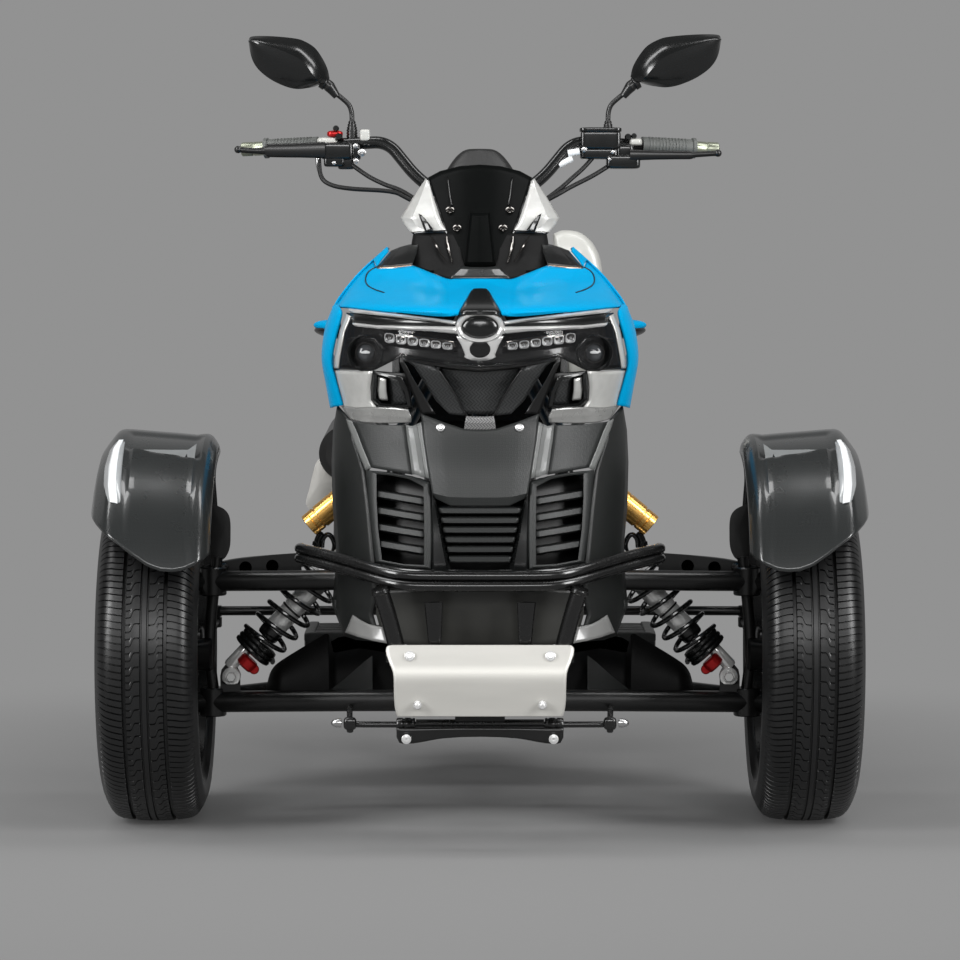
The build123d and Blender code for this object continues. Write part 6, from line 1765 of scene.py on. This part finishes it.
for side, sign in SIDES:
    carrier = [
        swept(smooth_path(PILLAR, 40), 0.0095, 16), swept(smooth_path(STEER_ARM, 12), 0.011, 14, flat=0.7)]
    carrier += [
        turned((0.452, AXLE_Y, 0.281), (1, 0, 0), HUB, 32), turned((0.456, -0.670, 0.318), (0, 0, 1), PIN,
        24)]
    carrier += [
        pillow((0.468, -0.700, 0.281), (0.012, 0.058, 0.018), 5),
        pillow((0.484, -0.650, 0.281), (0.009, 0.026, 0.036), 5)]
    carrier += [
        pillow((0.506, -0.650, 0.281), (0.008, 0.026, 0.036), 5), flipped(plate(STAY, 2, 34, 1, 60))]
    piece(f"upright_{side}", [on_side(part, sign) for part in carrier], black_satin, f"knuckle_{side}",
        "frame_black", [f"knuckle_{side}"], crease=40)
    board = [
        pillow((0.212, -0.2595, 0.2672), (0.104, 0.1195, 0.0049), 12),
        pillow((0.306, -0.2595, 0.266), (0.0098, 0.1195, 0.0138), 8)]
    board += [
        pillow((0.248, -0.356 + 0.036 * step, 0.2745), (0.055, 0.0078, 0.0036), 6) for step in range(6)]
    board += [pillow((0.238, -0.380, 0.272), (0.077, 0.0055, 0.0100), 6)]
    piece(f"foot_rest_{side}", [on_side(part, sign) for part in board], black_grained, "chassis",
        "frame_black", [f"footboard_{side}"], crease=40)

# %% [markdown]
# Behind the nose two grey shapes look out: the smooth pod on the rider's left and, low on the right, the
# heat shield of the exhaust, a domed plate with one bolt.

# %% Pod and heat shield
POD = [
    (0.146, 0.998), (0.163, 1.0045), (0.192, 1.002), (0.214, 0.989), (0.231, 0.966), (0.240, 0.938),
    (0.2435, 0.900), (0.249, 0.850), (0.252, 0.802), (0.246, 0.764), (0.230, 0.733), (0.200, 0.720),
    (0.173, 0.717), (0.1725, 0.790), (0.1725, 0.856), (0.160, 0.859), (0.147, 0.863), (0.146, 0.930)]
outline = smooth_path(POD + POD[:1], 120)[:-1]
middle = outline.mean(axis=0)
POD_RUN = (
    (1.117, 0.0), (1.117, 0.55), (1.119, 0.86), (1.125, 0.95), (1.136, 1.0), (1.20, 1.0), (1.28, 0.985),
    (1.36, 0.94), (1.402, 0.86), (1.416, 0.72), (1.420, 0.0))
pod = np.stack([np.insert(middle + (outline - middle) * k, 1, AXLE_Y + y, axis=1) for y, k in POD_RUN])
piece("pod_shell", lattice(pod, wrap=True), grey_shell, "chassis", "shield_grey", ["side_pod"], crease=50)
HEAT = [
    (340, 440), (332, 447.5), (321, 457), (315.5, 464.5), (312.5, 475), (309.5, 488), (306.3, 500),
    (306.8, 506), (311, 510.5), (318, 511), (326, 502), (333, 488), (342, 476)]
SHIELD_BACK = 1104
piece("heat_plate", plate(HEAT, SHIELD_BACK, 10, 7, 90), heat_grey, "chassis", "shield_grey",
    ["heat_shield"], crease=40)
HEAT_BOLT = [(0, 0), (0, 0.0072), (0.004, 0.0068), (0.006, 0.0045), (0.006, 0)]
heat_bolt = turned(spots([(329, 461, SHIELD_BACK - 6)])[0], (0, -1, 0), HEAT_BOLT, 18)
piece("heat_bolt", heat_bolt, bronze_edge, "chassis", "shield_grey", crease=40)

# %% [markdown]
# The seat and the backrest are foam under a stretched cover. Each starts as a slightly slim closed form, is
# remeshed evenly and blown up by a short cloth simulation with its base held, no point moving more than a
# few millimetres; piping is sewn round the top edge afterwards.

# %% Padding
PRESSURE = 4.0
CLOTH_FRAMES = 20


def loaf(stations, power=3.4, columns=72):
    """Closed form from stations (place, centre of the ring, half width, half height), each ring a
    superellipse."""
    turn = np.linspace(0, 2 * np.pi, columns, endpoint=False)
    across, up = signed_power(np.cos(turn), power), signed_power(np.sin(turn), power)
    rings = [np.stack([np.full(columns, at), wide * across, mid + tall * up], axis=-1)
             for at, mid, wide, tall in stations]
    first, last = rings[0].mean(axis=0), rings[-1].mean(axis=0)
    return np.stack([np.broadcast_to(first, rings[0].shape), *rings, np.broadcast_to(last, rings[0].shape)])


def stuffed(name, part, node, held, voxel=0.0068, cap=0.007):
    """Padded piece: remeshed, blown up as cloth with the held points pinned, each move cut to cap, then
    smoothed."""
    thing = piece(name, part, seat_leather, "chassis", "seat_cover", [node], crease=180)
    even = thing.modifiers.new("even", "REMESH")
    even.mode, even.voxel_size, even.use_smooth_shade = "VOXEL", voxel, True
    graph = bpy.context.evaluated_depsgraph_get()
    data = bpy.data.meshes.new_from_object(thing.evaluated_get(graph))
    thing.modifiers.clear()
    thing.data = data
    count = len(data.vertices)
    still = np.empty(count * 3)
    data.vertices.foreach_get("co", still)
    still = still.reshape(-1, 3)
    group = thing.vertex_groups.new(name="held")
    group.add(np.flatnonzero(held(still)).tolist(), 1.0, "REPLACE")
    cloth = thing.modifiers.new("cloth", "CLOTH")
    cloth.settings.quality = 5
    cloth.settings.use_pressure = True
    cloth.settings.uniform_pressure_force = PRESSURE
    cloth.settings.effector_weights.gravity = 0.0
    cloth.settings.vertex_group_mass = "held"
    for number in range(1, CLOTH_FRAMES + 1):
        bpy.context.scene.frame_set(number)
    graph = bpy.context.evaluated_depsgraph_get()
    blown = thing.evaluated_get(graph).to_mesh()
    moved = np.empty(count * 3)
    blown.vertices.foreach_get("co", moved)
    step = moved.reshape(-1, 3) - still
    size = np.linalg.norm(step, axis=1, keepdims=True)
    kept = still + step * np.minimum(1, cap / np.maximum(size, 1e-9))
    data.vertices.foreach_set("co", kept.ravel())
    thing.modifiers.clear()
    thing.vertex_groups.clear()
    bpy.context.scene.frame_set(1)
    print(name, "largest move", round(float(size.max()) * 1000, 1), "mm, kept to", cap * 1000)
    data.materials.clear()
    data.materials.append(seat_leather)
    data.shade_smooth()
    soft = thing.modifiers.new("soft", "SUBSURF")
    soft.levels = soft.render_levels = 1
    return thing

# %% [markdown]
# Stations along the seat and up the backrest, in millimetres: the place behind the front axle or the
# height, the centre of the ring, its half width and its half height.

# %% Seat and backrest
BACK_PLANE = 0.718
SEAT_RUN = np.array((
    (646, 731, 78, 28), (652, 731, 100, 34), (672, 730, 112, 35), (700, 724, 118, 30),
    (760, 718, 128, 24), (850, 719, 142, 25), (940, 721, 152, 27), (1000, 727, 155, 33),
    (1036, 748, 156, 44), (1066, 790, 156, 34), (1090, 812, 155, 34), (1125, 817, 154, 33),
    (1200, 817, 150, 32), (1300, 815, 142, 31), (1380, 813, 130, 29), (1425, 811, 114, 24),
    (1444, 811, 96, 17)))
run = smooth_path(SEAT_RUN, 70) / 1000
seat_form = loaf(run)[..., [1, 0, 2]] + (0, AXLE_Y, 0)


def on_base(points):
    """Whether each point lies in the lowest tenth of the seat's height there."""
    return points[:, 2] < np.interp(points[:, 1] - AXLE_Y, run[:, 0], run[:, 1] - 0.8 * run[:, 3])


def on_back(points):
    """Whether each point lies on the rear of the backrest."""
    return points[:, 1] > BACK_PLANE


stuffed("seat_pad", lattice(seat_form, wrap=True), "seat", on_base)
BACK_RUN = np.array((
    (932, 1460, 60, 16), (938, 1460, 88, 22), (960, 1460, 102, 25), (990, 1460, 107, 26),
    (1040, 1460, 103, 26), (1075, 1460, 94, 26), (1105, 1460, 82, 26), (1132, 1460, 68, 25),
    (1155, 1460, 52, 23), (1168, 1460, 38, 20), (1174, 1460, 26, 15)))
rest = smooth_path(BACK_RUN, 48) / 1000
back_form = loaf(rest)[..., [1, 2, 0]] + (0, AXLE_Y, 0)
stuffed("backrest_pad", lattice(back_form, wrap=True), "backrest", on_back, voxel=0.005, cap=0.005)
along, mid, wide, tall = run[3:-3].T
half_run = np.stack([wide * 0.93 + 0.003, along + AXLE_Y, mid + tall * 0.70 + 0.004], axis=-1)
seam = np.concatenate([half_run, (half_run * (-1, 1, 1))[::-1]])
piece("seat_piping", swept(smooth_path(seam, 220), 0.0024, 8), black_gloss, "chassis", "seat_cover",
    crease=60)

# %% [markdown]
# Every solid takes a finish; those whose shape is already right stay in sight.

# %% Dress the solids
DRESS = (
    (blue_paint, "hood"), (carbon, "fascia dash_base"), (lens_clear, "headlight_cover"),
    (chrome, "nose_trim"),
    (carbon_cross, "nose_grille"), (smoked, "windscreen"), (silver_paint, "cowl_wings"),
    (plate_aluminium, "skid_plate"),
    (black_gloss, "headlight_unit tank_cover tail_cover rim_rear"),
    (dark_steel, "engine rear_damper chain exhaust"),
    (black_satin,
     "bumper antiroll_bar frame_cradle frame_front frame_rear swing_arm steering_column handlebar"),
    (heat_grey, "heat_shield"), (grey_shell, "side_pod"), (lamp_red, "tail_lamp"),
    (black_grained, "rear_fender"),
    (seat_leather, "seat backrest"), (grip_rubber, "cables"), (tyre_rubber, "tyre_rear"),
)
DRESS_PAIRS = (
    (black_satin, "upper_arm lower_arm knuckle tie_rod"), (black_gloss, "spring fender rim mirror"),
    (steel, "damper"),
    (gold_anodised, "reservoir"), (tyre_rubber, "tyre"), (black_grained, "footboard"),
)
dressed = {name: material for material, names in DRESS for name in names.split()}
for material, names in DRESS_PAIRS:
    dressed.update({f"{name}_{side}": material for name in names.split() for side, sign in SIDES})
for name, material in dressed.items():
    data = solids[name].data
    data.materials.clear()
    data.materials.append(material)
print("dressed", len(dressed), "of", len(solids), "undressed:", sorted(set(solids) - set(dressed)))
